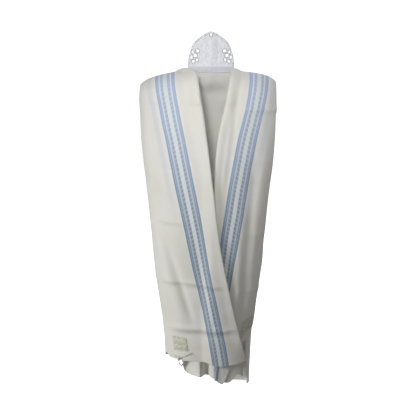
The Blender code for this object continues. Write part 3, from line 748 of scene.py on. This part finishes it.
def insideBody(x, y, z, behind):
    half = halfWidth(z)
    depth = np.where(behind, bodyDepth(z, "back"), bodyDepth(z, "front"))
    below = (np.abs(x) < half) & (y < depth * bulge(np.minimum(1.0, np.abs(x) / half), form["planRound"]))
    inX = np.minimum(np.abs(x), form["shoulderHalf"])
    rise = np.maximum(ridgeRise(np.sign(x) * inX), 1e-6)
    share = np.clip((z - form["rimZ"]) / rise, 0.0, 1.0)
    full = form["rimDepth"] * bulge(inX / form["shoulderHalf"], form["planRound"])
    reach = full * np.sqrt(1.0 - share ** 2)
    above = (np.abs(x) < form["shoulderHalf"]) & (share < 1.0) & (y < reach)
    return np.where(z <= form["rimZ"], below, above)


def radialPoint(angle, z):
    # a point of the body, by angle from the middle of the back
    angle, z = np.broadcast_arrays(np.asarray(angle, float), np.asarray(z, float))
    turn = np.radians(angle)
    low, high = np.zeros(angle.shape), np.full(angle.shape, 0.4)
    for _ in range(30):
        middle = (low + high) / 2
        inside = insideBody(middle * np.sin(turn), middle * np.abs(np.cos(turn)), z, np.abs(angle) < 90)
        low, high = np.where(inside, middle, low), np.where(inside, high, middle)
    return np.stack([low * np.sin(turn), low * np.cos(turn), z], axis=-1)


def neckCloth(angle, reach, rim):
    # up behind the neck, where the lace stands on the cloth
    x = neck["x"] + neck["tabHalf"] * angle / backCut["neckAngle"]
    y = float(neckDepth(x)) + neck["lace"] / 2 + neck["seam"] + form["cloth"] / 2
    top, lap = backCut["reaches"][:2]
    if reach == top:
        return np.array([x, y, neck["clothTop"]])
    foot = np.array([x, y, neck["clothTop"] - neck["lap"]])
    place = foot + (rim - foot) * (reach - lap) / (form["capLength"] - lap)
    place[1] = y + (rim[1] - y) * easeStep(lap, form["capLength"], reach)
    return place


def upperBack(angle):
    rim = radialPoint(angle, form["rimZ"])
    reaches = backCut["reaches"]
    if abs(angle) <= backCut["neckAngle"]:
        return [neckCloth(angle, reach, rim) for reach in reaches]
    if abs(angle) < backCut["sideAngle"]:
        return [bodyPoint(rim[0], -reach) for reach in reaches]
    top = float(pairCurve(backCut["sideTop"], abs(angle)))
    fall = (form["rimZ"] - top) / (form["capLength"] - reaches[0])
    return [radialPoint(angle, top + fall * (reach - reaches[0])) for reach in reaches]


def foldedPoint(angle, z):
    point = radialPoint(angle, z)
    turn = np.radians(angle)
    fade = easeStep(-backCut["foldTop"], 0.95, -z) * easeStep(95, 70, abs(angle))
    wave = np.cos(turn * backCut["foldRate"] + backCut["foldStart"])
    shift = backCut["foldDepth"] * fade * wave - form["lapPull"] * easeStep(88, 98, abs(angle))
    return point + np.array([math.sin(turn), math.cos(turn), 0.0]) * np.asarray(shift)[..., None]


def makeBack():
    columns = []
    for angle in backCut["angles"]:
        low = float(pairCurve(backCut["hem"], angle / backCut["angles"][-1]))
        falls = foldedPoint(angle, form["rimZ"] + (low - form["rimZ"]) * np.array(backCut["shares"]))
        columns.append(np.concatenate([np.array(upperBack(angle)), falls]))
    rowSteps, columnSteps = backCut["finer"]
    grid = refined(np.stack(columns, axis=1), rowSteps)
    grid = np.swapaxes(refined(np.swapaxes(grid, 0, 1), columnSteps), 0, 1)
    middle = grid.shape[1] // 2
    normals = gridNormals(grid)
    normals = normals * np.sign(normals[len(grid) // 2, middle, 1])
    x, y, z = np.moveaxis(grid, -1, 0)
    rise = lineHeights(backCreases, x, z, True) + waviness(x, z, 3)
    behind = easeStep(0.02, 0.06, y) * easeStep(-0.02, -0.16, z)
    grid = grid + normals * (rise * behind)[..., None]
    across, down = reachAlong(grid, 1), reachAlong(grid)
    print(f"back: {across[:, -1].mean():.3f} m round, {down[-1].mean():.3f} m down")
    uv = np.stack([across - across[:, [middle]], down], axis=-1)
    made = clothShell("back_cloth", grid, normals, hemmedWall(down[-1] - down), uv, cloths["plain"])
    return dress(made, "cloth", "back", "side_left", "side_right")


back = makeBack()
print("back made")


# Neckband: a plate of lace with real openings, and cords on it

laceHoles = rowsOf(
    "out up wide tall turn",
    (0.0432, 0.0695, 0.0080, 0.0100, -35),
    (0.0512, 0.0550, 0.0095, 0.0100, -20),
    (0.0590, 0.0660, 0.0045, 0.0110, -26),
    (0.0638, 0.0490, 0.0075, 0.0095, -12),
    (0.0575, 0.0360, 0.0065, 0.0100, 28),
    (0.0455, 0.0410, 0.0055, 0.0085, 8),
)
lacePeak = dict(out=0.0, up=0.121, wide=0.0070, tall=0.0085, turn=0)
lacePlate = dict(
    wall=0.0009, step=0.0016, rimStep=0.0018, footStep=0.002, holeSides=18, clearGrow=1.25, inner=0.8,
    eyelet=0.0026, eyeletInset=0.0032, eyeletStep=0.0052, eyeletEnds=0.010, eyeletSides=8, eyeletClear=0.75,
    rimCord=0.0011, rimInset=0.0012, innerCord=0.0008, innerInset=0.0053, ringCord=0.0006, ringGrow=1.16,
    scrollCord=0.0015, leafCord=0.0011, cordTurn=900.0, flat=(0.151, 0.131), area=0.0150,
)
# the scroll band along the foot, and one spray on each half: places out from the middle and up
laceScroll = dict(low=0.006, high=0.018, repeat=0.0152, foot=0.0040, ends=0.068)
laceSpray = [
    [(0.010, 0.030), (0.017, 0.045), (0.020, 0.062), (0.018, 0.080), (0.012, 0.095)],
    [(0.018, 0.047), (0.027, 0.050), (0.032, 0.060), (0.026, 0.066), (0.019, 0.058), (0.018, 0.047)],
    [(0.020, 0.066), (0.030, 0.072), (0.032, 0.084), (0.025, 0.086), (0.019, 0.076), (0.020, 0.066)],
    [(0.016, 0.044), (0.008, 0.050), (0.006, 0.060), (0.011, 0.062), (0.016, 0.054), (0.016, 0.044)],
    [(0.018, 0.072), (0.010, 0.074), (0.006, 0.083), (0.010, 0.088), (0.016, 0.082), (0.018, 0.072)],
    [(0.024, 0.028), (0.034, 0.031), (0.040, 0.038), (0.034, 0.046), (0.028, 0.040), (0.033, 0.036)],
]


def neckTop(off):
    return pairCurve(neck["outline"], np.abs(off))


def neckSurface(x, z):
    lean = neck["lean"] * np.maximum(0.0, z - neck["clothTop"]) / (neck["outline"][0][1] - neck["clothTop"])
    return np.stack([x, neckDepth(x) + lean, z], axis=-1)


def holeRows():
    rows = [(side * hole["out"], hole, -side * hole["turn"]) for hole in laceHoles for side in (-1, 1)]
    return rows + [(0.0, lacePeak, 0.0)]


def holeLoop(off, hole, turn, grow=1.0):
    angles = np.arange(lacePlate["holeSides"]) * 2 * math.pi / lacePlate["holeSides"]
    a = hole["wide"] / 2 * grow * np.cos(angles)
    b = hole["tall"] / 2 * grow * np.sin(angles)
    tilt = math.radians(turn)
    x = neck["x"] + off + a * math.cos(tilt) + b * math.sin(tilt)
    z = neck["base"] + hole["up"] - a * math.sin(tilt) + b * math.cos(tilt)
    return np.stack([x, z], axis=-1)


def insideLoop(points, loop):
    # a line sideways from a point inside crosses the loop an odd number of times
    x, z = points.T[..., None]
    (x0, z0), (x1, z1) = loop.T, np.roll(loop, -1, axis=0).T
    cross = (z0 > z) != (z1 > z)
    span = np.where(z1 == z0, 1e-12, z1 - z0)
    return (cross & (x < x0 + (x1 - x0) * (z - z0) / span)).sum(axis=1) % 2 == 1


def neckRim():
    # the outline from the foot of one side over the peak to the other
    half, step = neck["half"], lacePlate["rimStep"]
    offs = np.concatenate([-evenRun(half, 0.0, step), evenRun(0.0, half, step)[1:]])
    foot = evenRun(neck["base"], neck["outline"][-1][1], lacePlate["footStep"])[:-1]
    x = np.concatenate([np.full(len(foot), -half), offs, np.full(len(foot), half)])
    z = np.concatenate([foot, neckTop(offs), foot[::-1]])
    return np.stack([neck["x"] + x, z], axis=-1)


def rimInset(distance):
    # the rim's line moved in over the lace
    rim = neckRim()
    ahead = unit(np.gradient(rim, axis=0))
    return rim + np.stack([ahead[:, 1], -ahead[:, 0]], axis=-1) * distance


def nearest(points, others):
    # how far each point is from the nearest of the others
    return np.array([np.linalg.norm(others - point, axis=1).min() for point in points])


def largeRims():
    return np.concatenate([holeLoop(*row) for row in holeRows()])


def eyeletLoops():
    # small holes between the rim's two cords, left out beside the larger ones
    line = rimInset(lacePlate["eyeletInset"])
    reach = reachAlong(line)
    ends = lacePlate["eyeletEnds"]
    middles = pickAlong(line, reach, evenRun(ends, reach[-1] - ends, lacePlate["eyeletStep"]))
    angles = np.arange(lacePlate["eyeletSides"]) * 2 * math.pi / lacePlate["eyeletSides"]
    ring = np.stack([np.cos(angles), np.sin(angles)], axis=-1) * lacePlate["eyelet"] / 2
    clear = nearest(middles, largeRims()) > lacePlate["eyelet"]
    return [middle + ring for middle in middles[clear]]


def lacePlateMesh():
    # the plate as flat triangles, with its openings left out
    rim = neckRim()
    eyelets = eyeletLoops()
    loops = [holeLoop(*row) for row in holeRows()] + eyelets
    foot = evenRun(rim[-1][0], rim[0][0], lacePlate["footStep"])[1:-1]
    border = np.concatenate([rim, np.stack([foot, np.full(len(foot), neck["base"])], axis=-1)])
    edges = []
    start = 0
    for loop in [border] + loops:
        edges += [(start + i, start + (i + 1) % len(loop)) for i in range(len(loop))]
        start += len(loop)
    step = lacePlate["step"]
    gridX = np.arange(-neck["half"] + step, neck["half"], step)
    x, z = [part.ravel() for part in np.meshgrid(gridX, np.arange(neck["base"] + step, neckTop(0.0), step))]
    inner = np.stack([neck["x"] + x, z], axis=-1)
    keep = z < neckTop(inner[:, 0] - neck["x"]) - step * 0.7
    for row in holeRows():
        keep &= ~insideLoop(inner, holeLoop(*row, grow=lacePlate["clearGrow"]))
    for loop in eyelets:
        clear = lacePlate["eyelet"] * lacePlate["eyeletClear"]
        keep &= np.linalg.norm(inner - loop.mean(axis=0), axis=1) > clear
    flat = np.concatenate([border] + loops + [inner[keep]])
    made, _, faces, _, _, _ = delaunay_2d_cdt([tuple(p) for p in flat], edges, [], 0, 1e-7)
    made, faces = np.array([tuple(p) for p in made]), np.array([list(face) for face in faces])
    middles = made[faces].mean(axis=1)
    wanted = insideLoop(middles, border)
    for loop in loops:
        wanted &= ~insideLoop(middles, loop)
    return made, faces[wanted]


def laceOpenness(flat):
    # 1 where the lace is open net: in the rim, round the larger holes and behind the scrolls, where the lace
    #                               material paints shade
    inRim = easeStep(0.0075, 0.0055, nearest(flat, neckRim()))
    byHole = easeStep(0.0052, 0.0030, nearest(flat, largeRims()))
    up = flat[:, 1] - neck["base"]
    inScroll = easeStep(laceScroll["high"] + 0.002, laceScroll["high"] - 0.001, up)
    return np.maximum(inRim, lacePlate["inner"] * np.maximum(byHole, inScroll))


def makeNeckband():
    flat, faces = lacePlateMesh()
    sheet = linkMesh("neckband_lace", neckSurface(*flat.T), faces.tolist(), cloths["lace"], flat)
    openly = sheet.data.attributes.new("openly", "FLOAT", "POINT")
    openly.data.foreach_set("value", laceOpenness(flat).astype(np.float32))
    wall = sheet.modifiers.new("wall", "SOLIDIFY")
    wall.thickness = lacePlate["wall"]
    wall.offset = 0.0
    with bpy.context.temp_override(object=sheet, active_object=sheet):
        bpy.ops.object.modifier_apply(modifier=wall.name)
    return dress(sheet, "lace", "atarah")


def laceLine(pairs, step=0.0012):
    # a smooth line over the lace through places given as out and up
    pairs = np.asarray(pairs, float)
    pairs = np.stack([pairs[:, 0] + neck["x"], pairs[:, 1] + neck["base"]], axis=-1)
    return neckSurface(*pathRun(pairs, step).T) - np.array([0.0, lacePlate["wall"] / 2, 0.0])


def makeCording():
    cords = PartList()
    for inset, cord, sides in (("rimInset", "rimCord", 8), ("innerInset", "innerCord", 6)):
        line = neckSurface(*rimInset(lacePlate[inset]).T)
        cords.tube(line, lacePlate[cord], sides, plies=2, turn=lacePlate["cordTurn"])
    for row in holeRows():
        ring = holeLoop(*row, grow=lacePlate["ringGrow"])
        cords.tube(neckSurface(*np.concatenate([ring, ring[:1]]).T), lacePlate["ringCord"], 6)
    low, high, ends = laceScroll["low"], laceScroll["high"], laceScroll["ends"]
    out = evenRun(-ends, ends, 0.001)
    wave = np.sin(out * 2 * math.pi / laceScroll["repeat"])
    scrolls = [(low + high) / 2 + way * (high - low) * 0.4 * wave for way in (1, -1)]
    lines = [np.stack([out, up], axis=-1) for up in scrolls]
    lines += [[(-ends, up), (0.0, up), (ends, up)] for up in (low - 0.0012, high + 0.0012)]
    lines.append(np.stack([out, laceScroll["foot"] * np.abs(wave) - 0.0005], axis=-1))
    for line in lines:
        cords.tube(laceLine(line), lacePlate["scrollCord"], 6)
    for side in (-1, 1):
        for line in laceSpray:
            cords.tube(laceLine([(side * out, up) for out, up in line]), lacePlate["leafCord"], 6)
    return dress(cords.made("neckband_cording", cloths["cording"]), "lace")


neckband = makeNeckband()
cording = makeCording()
print("neckband made")


# Corner patches

patchCut = dict(
    wall=0.0012, tall=0.053, inset=0.027, upper=(0.05, 0.41),
    lower={-1: (0.12, 0.30), 1: (0.05, 0.30)}, lowerTop={-1: 0.913, 1: 0.905}, lowerFoot=0.965,
    rib=0.0022, ribHigh=0.00022, step=0.0009, across=0.2,
    flat={
        (-1, "lower"): (0.050, 0.050), (-1, "upper"): (0.052, 0.048),
        (1, "lower"): (0.049, 0.050), (1, "upper"): (0.047, 0.047),
    },
)


def patchPlaces(side, end):
    if end == "lower":
        shares = patchCut["lower"][side]
        top, foot = patchCut["lowerTop"][side], patchCut["lowerFoot"]
    else:
        shares = patchCut["upper"]
        top = frontRows[side]["edge"][0]["along"] + patchCut["inset"]
        foot = top + patchCut["tall"]
    shareStep = patchCut["step"] / patchCut["across"]
    return topPlaces(side, evenRun(top, foot, patchCut["step"]), evenRun(*shares, shareStep))


def makePatch(side, end):
    # a square of ribbed cloth on the front's outer face; its own outer face is kept for the stitches
    x, along, height = patchPlaces(side, end)
    grid = drapedPoint(side, x, along, height)
    normals = gridNormals(grid) * -side
    lift = form["cloth"] / 2 + form["seam"] + patchCut["wall"] / 2
    rows = np.cumsum(np.linalg.norm(np.diff(grid, axis=0, prepend=grid[:1]), axis=2), axis=0)
    ribs = np.cos(rows * 2 * math.pi / patchCut["rib"]) * patchCut["ribHigh"]
    grid = grid + normals * (lift + ribs)[..., None]
    grid, normals, uv = facingOut(side, grid, normals, np.stack([x, along], axis=-1))
    corner = f"{frontRows[side]['name']}_{end}"
    patch = clothShell(f"corner_patch_{corner}", grid, normals, patchCut["wall"], uv, cloths["patch"])
    return dress(patch, "patch", f"patch_{corner}"), grid + normals * patchCut["wall"] / 2, normals


patches = {corner: makePatch(*corner) for corner in patchCut["flat"]}
print("patches made")


# Sewing: short straight stitches, on the hems and round the patches

stitchCut = dict(
    long=0.0034, gap=0.0022, thread=0.00032, arch=(-0.4, 0.7, 0.7, -0.4), inset=0.0085, patchInset=0.0030,
    search=0.02, step=0.0004, shares=(0.02, 0.95, 0.012),
)


def stitchLine(parts, line, normals):
    # dashes along a line that lies on the cloth's face
    reach = reachAlong(line)
    pitch = stitchCut["long"] + stitchCut["gap"]
    lift = np.array(stitchCut["arch"]) * stitchCut["thread"]
    for k in range(int(reach[-1] / pitch)):
        at = k * pitch + stitchCut["long"] * np.array([0.0, 0.25, 0.75, 1.0])
        raised = pickAlong(line, reach, at) + pickAlong(normals, reach, at) * lift[:, None]
        parts.tube(raised, stitchCut["thread"], 5)


def makeFrontStitches(side):
    parts = PartList()
    nominals = evenRun(frontCut["hem"] - stitchCut["search"], frontCut["hem"], stitchCut["step"])
    grid = drapedPoint(side, *topPlaces(side, nominals, evenRun(*stitchCut["shares"])))
    normals = gridNormals(grid) * -side
    toHem = np.linalg.norm(grid - grid[-1], axis=2)
    seam = np.abs(toHem - stitchCut["inset"]).argmin(axis=0), np.arange(grid.shape[1])
    stitchLine(parts, grid[seam] + normals[seam] * frontCut["wall"] / 2, normals[seam])
    dress(parts.made(f"hem_stitches_{frontRows[side]['name']}", cloths["thread"]), "cloth")


def makePatchStitches(side, end):
    parts = PartList()
    inset = round(stitchCut["patchInset"] / patchCut["step"])
    face, normals = [grid[inset:-inset, inset:-inset] for grid in patches[side, end][1:]]
    for edge in (np.s_[0], np.s_[-1], np.s_[:, 0], np.s_[:, -1]):
        stitchLine(parts, face[edge], normals[edge])
    dress(parts.made(f"patch_stitches_{frontRows[side]['name']}_{end}", cloths["thread"]), "patch")


for side in fronts:
    makeFrontStitches(side)
for corner in patches:
    makePatchStitches(*corner)
print("stitches made")


# Fringe cords

fringe = dict(
    strand=0.00085, sides=8, plies=2, turn=420.0, ring=0.0032, spread=0.0052, knot=0.0048, winding=0.0034,
    step=0.0016, hangStep=0.012, upperSlant=1.6, lowerSlant=1.5, seatClose=0.88, lowerDrop=0.0022,
    lowerHangX=0.124, lowerShare=0.16, upperShare=0.20, strands=8,
)
hanging = rowsOf(
    "name side wound knots loose",
    ("left_upper", -1, 0.085, 5, 0.165),
    ("right_upper", 1, 0.085, 5, 0.165),
    ("right_lower", 1, 0.046, 3, 0.088),
)


def hangingPath(row):
    # down from the corner, in front of or behind whatever cloth hangs there
    side, lower = row["side"], row["name"].endswith("lower")
    padding = form["cloth"] / 2 + form["seam"] + fringe["knot"]
    if lower:
        place = layerPlace(side, np.array([frontCut["hem"]]), fringe["lowerShare"], 1)
        x, z = side * fringe["lowerHangX"], float(frontPoint(side, *place)[0, 2]) - fringe["lowerDrop"]
        facing, turn, slant = "front", -1.0, fringe["lowerSlant"]
        path, low = [], z - row["wound"] - row["loose"]
    else:
        start = frontRows[side]["edge"][0]["along"]
        foot, corner = [
            layerPlace(side, np.array([start + down]), fringe["upperShare"], 1)
            for down in (0.0, patchCut["inset"] + patchCut["tall"])
        ]
        lift = form["cloth"] / 2 + 2 * form["seam"] + patchCut["wall"] + fringe["knot"] * fringe["seatClose"]
        seat = frontPoint(side, *corner)[0] + outward(corner[0], corner[1])[0] * lift
        end = float(frontPoint(side, *foot)[0, 2]) - fringe["knot"]
        facing, turn, slant = "back", 1.0, fringe["upperSlant"]
        path, low = [seat], seat[2] - row["wound"] - row["loose"]
        x, z = seat[0], seat[2] - fringe["hangStep"]
    y = 0.0
    while z > low:
        share = min(0.99, abs(x) / float(halfWidth(z)))
        face = float(bodyDepth(z, facing) * bulge(share, form["planRound"]))
        layers = form["underInFront"] if lower else (form["underOnBack"] + form["layerGap"]) * (z > end)
        y = max(y, face + (layers + padding) * slant)
        path.append(np.array([x, turn * y, z]))
        z -= fringe["hangStep"]
    return np.array(path)


def windingRadii(count, knots):
    swell = 0.5 - 0.5 * np.cos(2 * math.pi * knots * np.arange(count) / (count - 1))
    return fringe["knot"] + (fringe["winding"] - fringe["knot"]) * swell


def addWinding(parts, path, radii):
    # a wound stretch: a plain core, and one strand coiled round it
    strand = fringe["strand"]
    parts.tube(path, radii - 1.6 * strand, 8)
    reach = reachAlong(path)
    turns = reach[-1] / (2.0 * strand)
    at = np.linspace(0.0, reach[-1], int(turns * 12))
    radius = np.interp(at, reach, radii) - strand
    angle = at / (2.0 * strand) * 2 * math.pi
    ring = np.stack([np.cos(angle), np.sin(angle), np.zeros(len(at))], axis=-1)
    parts.tube(pickAlong(path, reach, at) + radius[:, None] * ring, strand, 6)


def addStrand(parts, path):
    parts.tube(path, fringe["strand"], fringe["sides"], fringe["plies"], fringe["turn"])


def makeFringe(row, seed):
    chance = np.random.default_rng(seed)
    path = hangingPath(row)
    count = round(row["wound"] / fringe["hangStep"]) + 1
    head = pathRun(path[:count], 0.0015)
    radii = windingRadii(len(head), row["knots"])
    parts = PartList()
    addWinding(parts, head, radii)
    below = pathRun(path[count - 2:], 0.004)
    share = np.linspace(0.0, 1.0, len(below))
    for k in range(fringe["strands"]):
        angle = 2 * math.pi * (k + 0.2) / fringe["strands"]
        sway = chance.uniform(-1, 1, 4)
        ring = fringe["ring"] * 0.6 + (fringe["spread"] - fringe["ring"] * 0.6) * share
        angle = angle + 0.35 * sway[0] * share + 0.25 * np.sin(share * 7.0 + sway[1] * 3.0)
        offset = np.stack([np.cos(angle) * ring, np.sin(angle) * ring, np.zeros(len(share))], axis=-1)
        strand = pathRun(below + offset, fringe["step"])
        keep = len(strand) - int(abs(sway[2]) * 4)
        addStrand(parts, strand[:keep])
    dress(parts.made(f"fringe_{row['name']}", cloths["cord"]), "cord", f"tzitzit_{row['name']}")


cornerKnot = dict(
    at=(0.975, -0.0935, 0.0123), half=0.0075, swell=[0.60, 0.66, 0.80, 0.92, 0.97, 0.92, 0.86, 0.82, 0.80],
)
cornerArms = [
    dict(strands=2, ring=0.0011, path=[
        (0.972, -0.090, 0.0120), (0.966, -0.080, 0.0108), (0.958, -0.066, 0.0104), (0.950, -0.053, 0.0104),
    ]),
    dict(strands=2, ring=0.0011, path=[
        (0.973, -0.096, 0.0120), (0.970, -0.102, 0.0106), (0.964, -0.1075, 0.0104),
    ]),
    dict(strands=4, ring=0.0017, path=[
        (0.979, -0.0925, 0.0122), (0.993, -0.090, 0.0115), (1.003, -0.0885, 0.004), (1.005, -0.088, -0.006),
        (0.998, -0.088, -0.015), (0.970, -0.088, -0.0185), (0.925, -0.088, -0.018),
    ]),
]


def cornerPoint(along, x, height):
    return frontPoint(-1, np.array([x]), np.array([along]), np.array([height]))[0]


def makeCornerFringe():
    # a knot at the hem, two arms on the cloth in front, and strands round the hem and up behind it
    parts = PartList()
    knot = cornerPoint(*cornerKnot["at"])
    heights = cornerKnot["half"] * np.linspace(-1.0, 1.0, 2 * len(cornerKnot["swell"]) - 1)
    swell = np.array(cornerKnot["swell"] + cornerKnot["swell"][-2::-1])
    addWinding(parts, knot + heights[:, None] * np.array([0.0, 0.0, 1.0]), fringe["knot"] * swell)
    facing = np.array([0.0, -1.0, 0.0])
    for arm in cornerArms:
        path = pathRun([cornerPoint(*place) for place in arm["path"]], 0.003)
        path = np.concatenate([[knot], path])
        across = unit(np.cross(unit(path[-1] - path[1]), facing))
        reach = np.linspace(0.0, 1.0, len(path))
        for k in range(arm["strands"]):
            angle = (2 * math.pi * k / arm["strands"] + reach * 9.0)[:, None]
            offset = arm["ring"] * (np.cos(angle) * across + np.sin(angle) * facing)
            addStrand(parts, pathRun(path + offset, fringe["step"]))
    dress(parts.made("fringe_left_lower", cloths["cord"]), "cord", "tzitzit_left_lower")


for i, row in enumerate(hanging):
    makeFringe(row, 20 + i)
makeCornerFringe()
print("fringe made")


# Stage: floor and backdrop in one, light from the upper left, and the camera

stageSet = dict(
    white=(1.0, 1.0, 1.0), ambient=0.24,
    floorZ=-1.30, middle=0.05, reach=5.0, bend=2.0, wall=9.0, steps=10, turns=48,
    cameraAt=(0.0, -2.4, 0.15), pitchDown=13.0, lens=64.47, sensor=36.0,
)
lamps = rowsOf(
    "name at aim size spread power",
    ("key", (-1.75, -1.30, 0.10), (-0.05, 0.0, -1.02), 0.6, 58.0, 3.9),
    ("front", (-0.18, -2.30, 0.70), (0.02, 0.0, 0.03), 0.45, 34.0, 1.50),
    ("rear", (1.2, 2.3, 1.3), (0.0, 0.0, -0.4), 2.0, 180.0, 36.0),
)


def aimed(thing, at, aim):
    way = unit(np.array(aim) - np.array(at))
    thing.location = at
    thing.rotation_euler = (math.acos(-way[2]), 0.0, math.atan2(-way[0], way[1]))


def makeStage():
    # a round floor that turns up into a wall, so that every view ends in plain white
    white, rise, turns = stageSet["white"], stageSet["bend"], stageSet["turns"]
    shade = Shade("white_backdrop", 1.0, 0.0)
    shade.feed(shade.surface, {"Base Color": white, "Emission Color": white, "Emission Strength": 1.0})
    bend = [math.radians(90.0 * k / stageSet["steps"]) for k in range(stageSet["steps"] + 1)]
    profile = [(stageSet["reach"] + rise * math.sin(a), rise * (1.0 - math.cos(a))) for a in bend]
    profile = [(stageSet["middle"], 0.0)] + profile + [(stageSet["reach"] + rise, stageSet["wall"])]
    spins = [2.0 * math.pi * k / turns for k in range(turns)]
    profile = [(out, stageSet["floorZ"] + up) for out, up in profile]
    points = [(out * math.cos(t), out * math.sin(t), up) for out, up in profile for t in spins]
    faces = [list(range(turns))]
    for low in range(0, (len(profile) - 1) * turns, turns):
        up = low + turns
        faces += [[low + k, up + k, up + (k + 1) % turns, low + (k + 1) % turns] for k in range(turns)]
    floor = linkMesh("floor", points, faces, shade.material)
    floor.visible_diffuse = floor.visible_glossy = floor.visible_shadow = False
    world = bpy.data.worlds.new("studio")
    world.use_nodes = True
    plain = world.node_tree.nodes["Background"]
    plain.inputs["Color"].default_value = (*white, 1.0)
    plain.inputs["Strength"].default_value = stageSet["ambient"]
    bpy.context.scene.world = world


def makeLamps():
    for lamp in lamps:
        data = bpy.data.lights.new(lamp["name"], "AREA")
        data.size = lamp["size"]
        data.energy = lamp["power"]
        data.spread = math.radians(lamp["spread"])
        aimed(linked(lamp["name"], data), lamp["at"], lamp["aim"])


def makeCamera():
    data = bpy.data.cameras.new("camera")
    data.lens = stageSet["lens"]
    data.sensor_width = stageSet["sensor"]
    made = linked("camera", data)
    made.location = stageSet["cameraAt"]
    made.rotation_euler = (math.radians(90.0 - stageSet["pitchDown"]), 0.0, 0.0)
    bpy.context.scene.camera = made


makeStage()
makeLamps()
makeCamera()
bpy.context.scene.view_settings.view_transform = "Standard"
print("stage made")
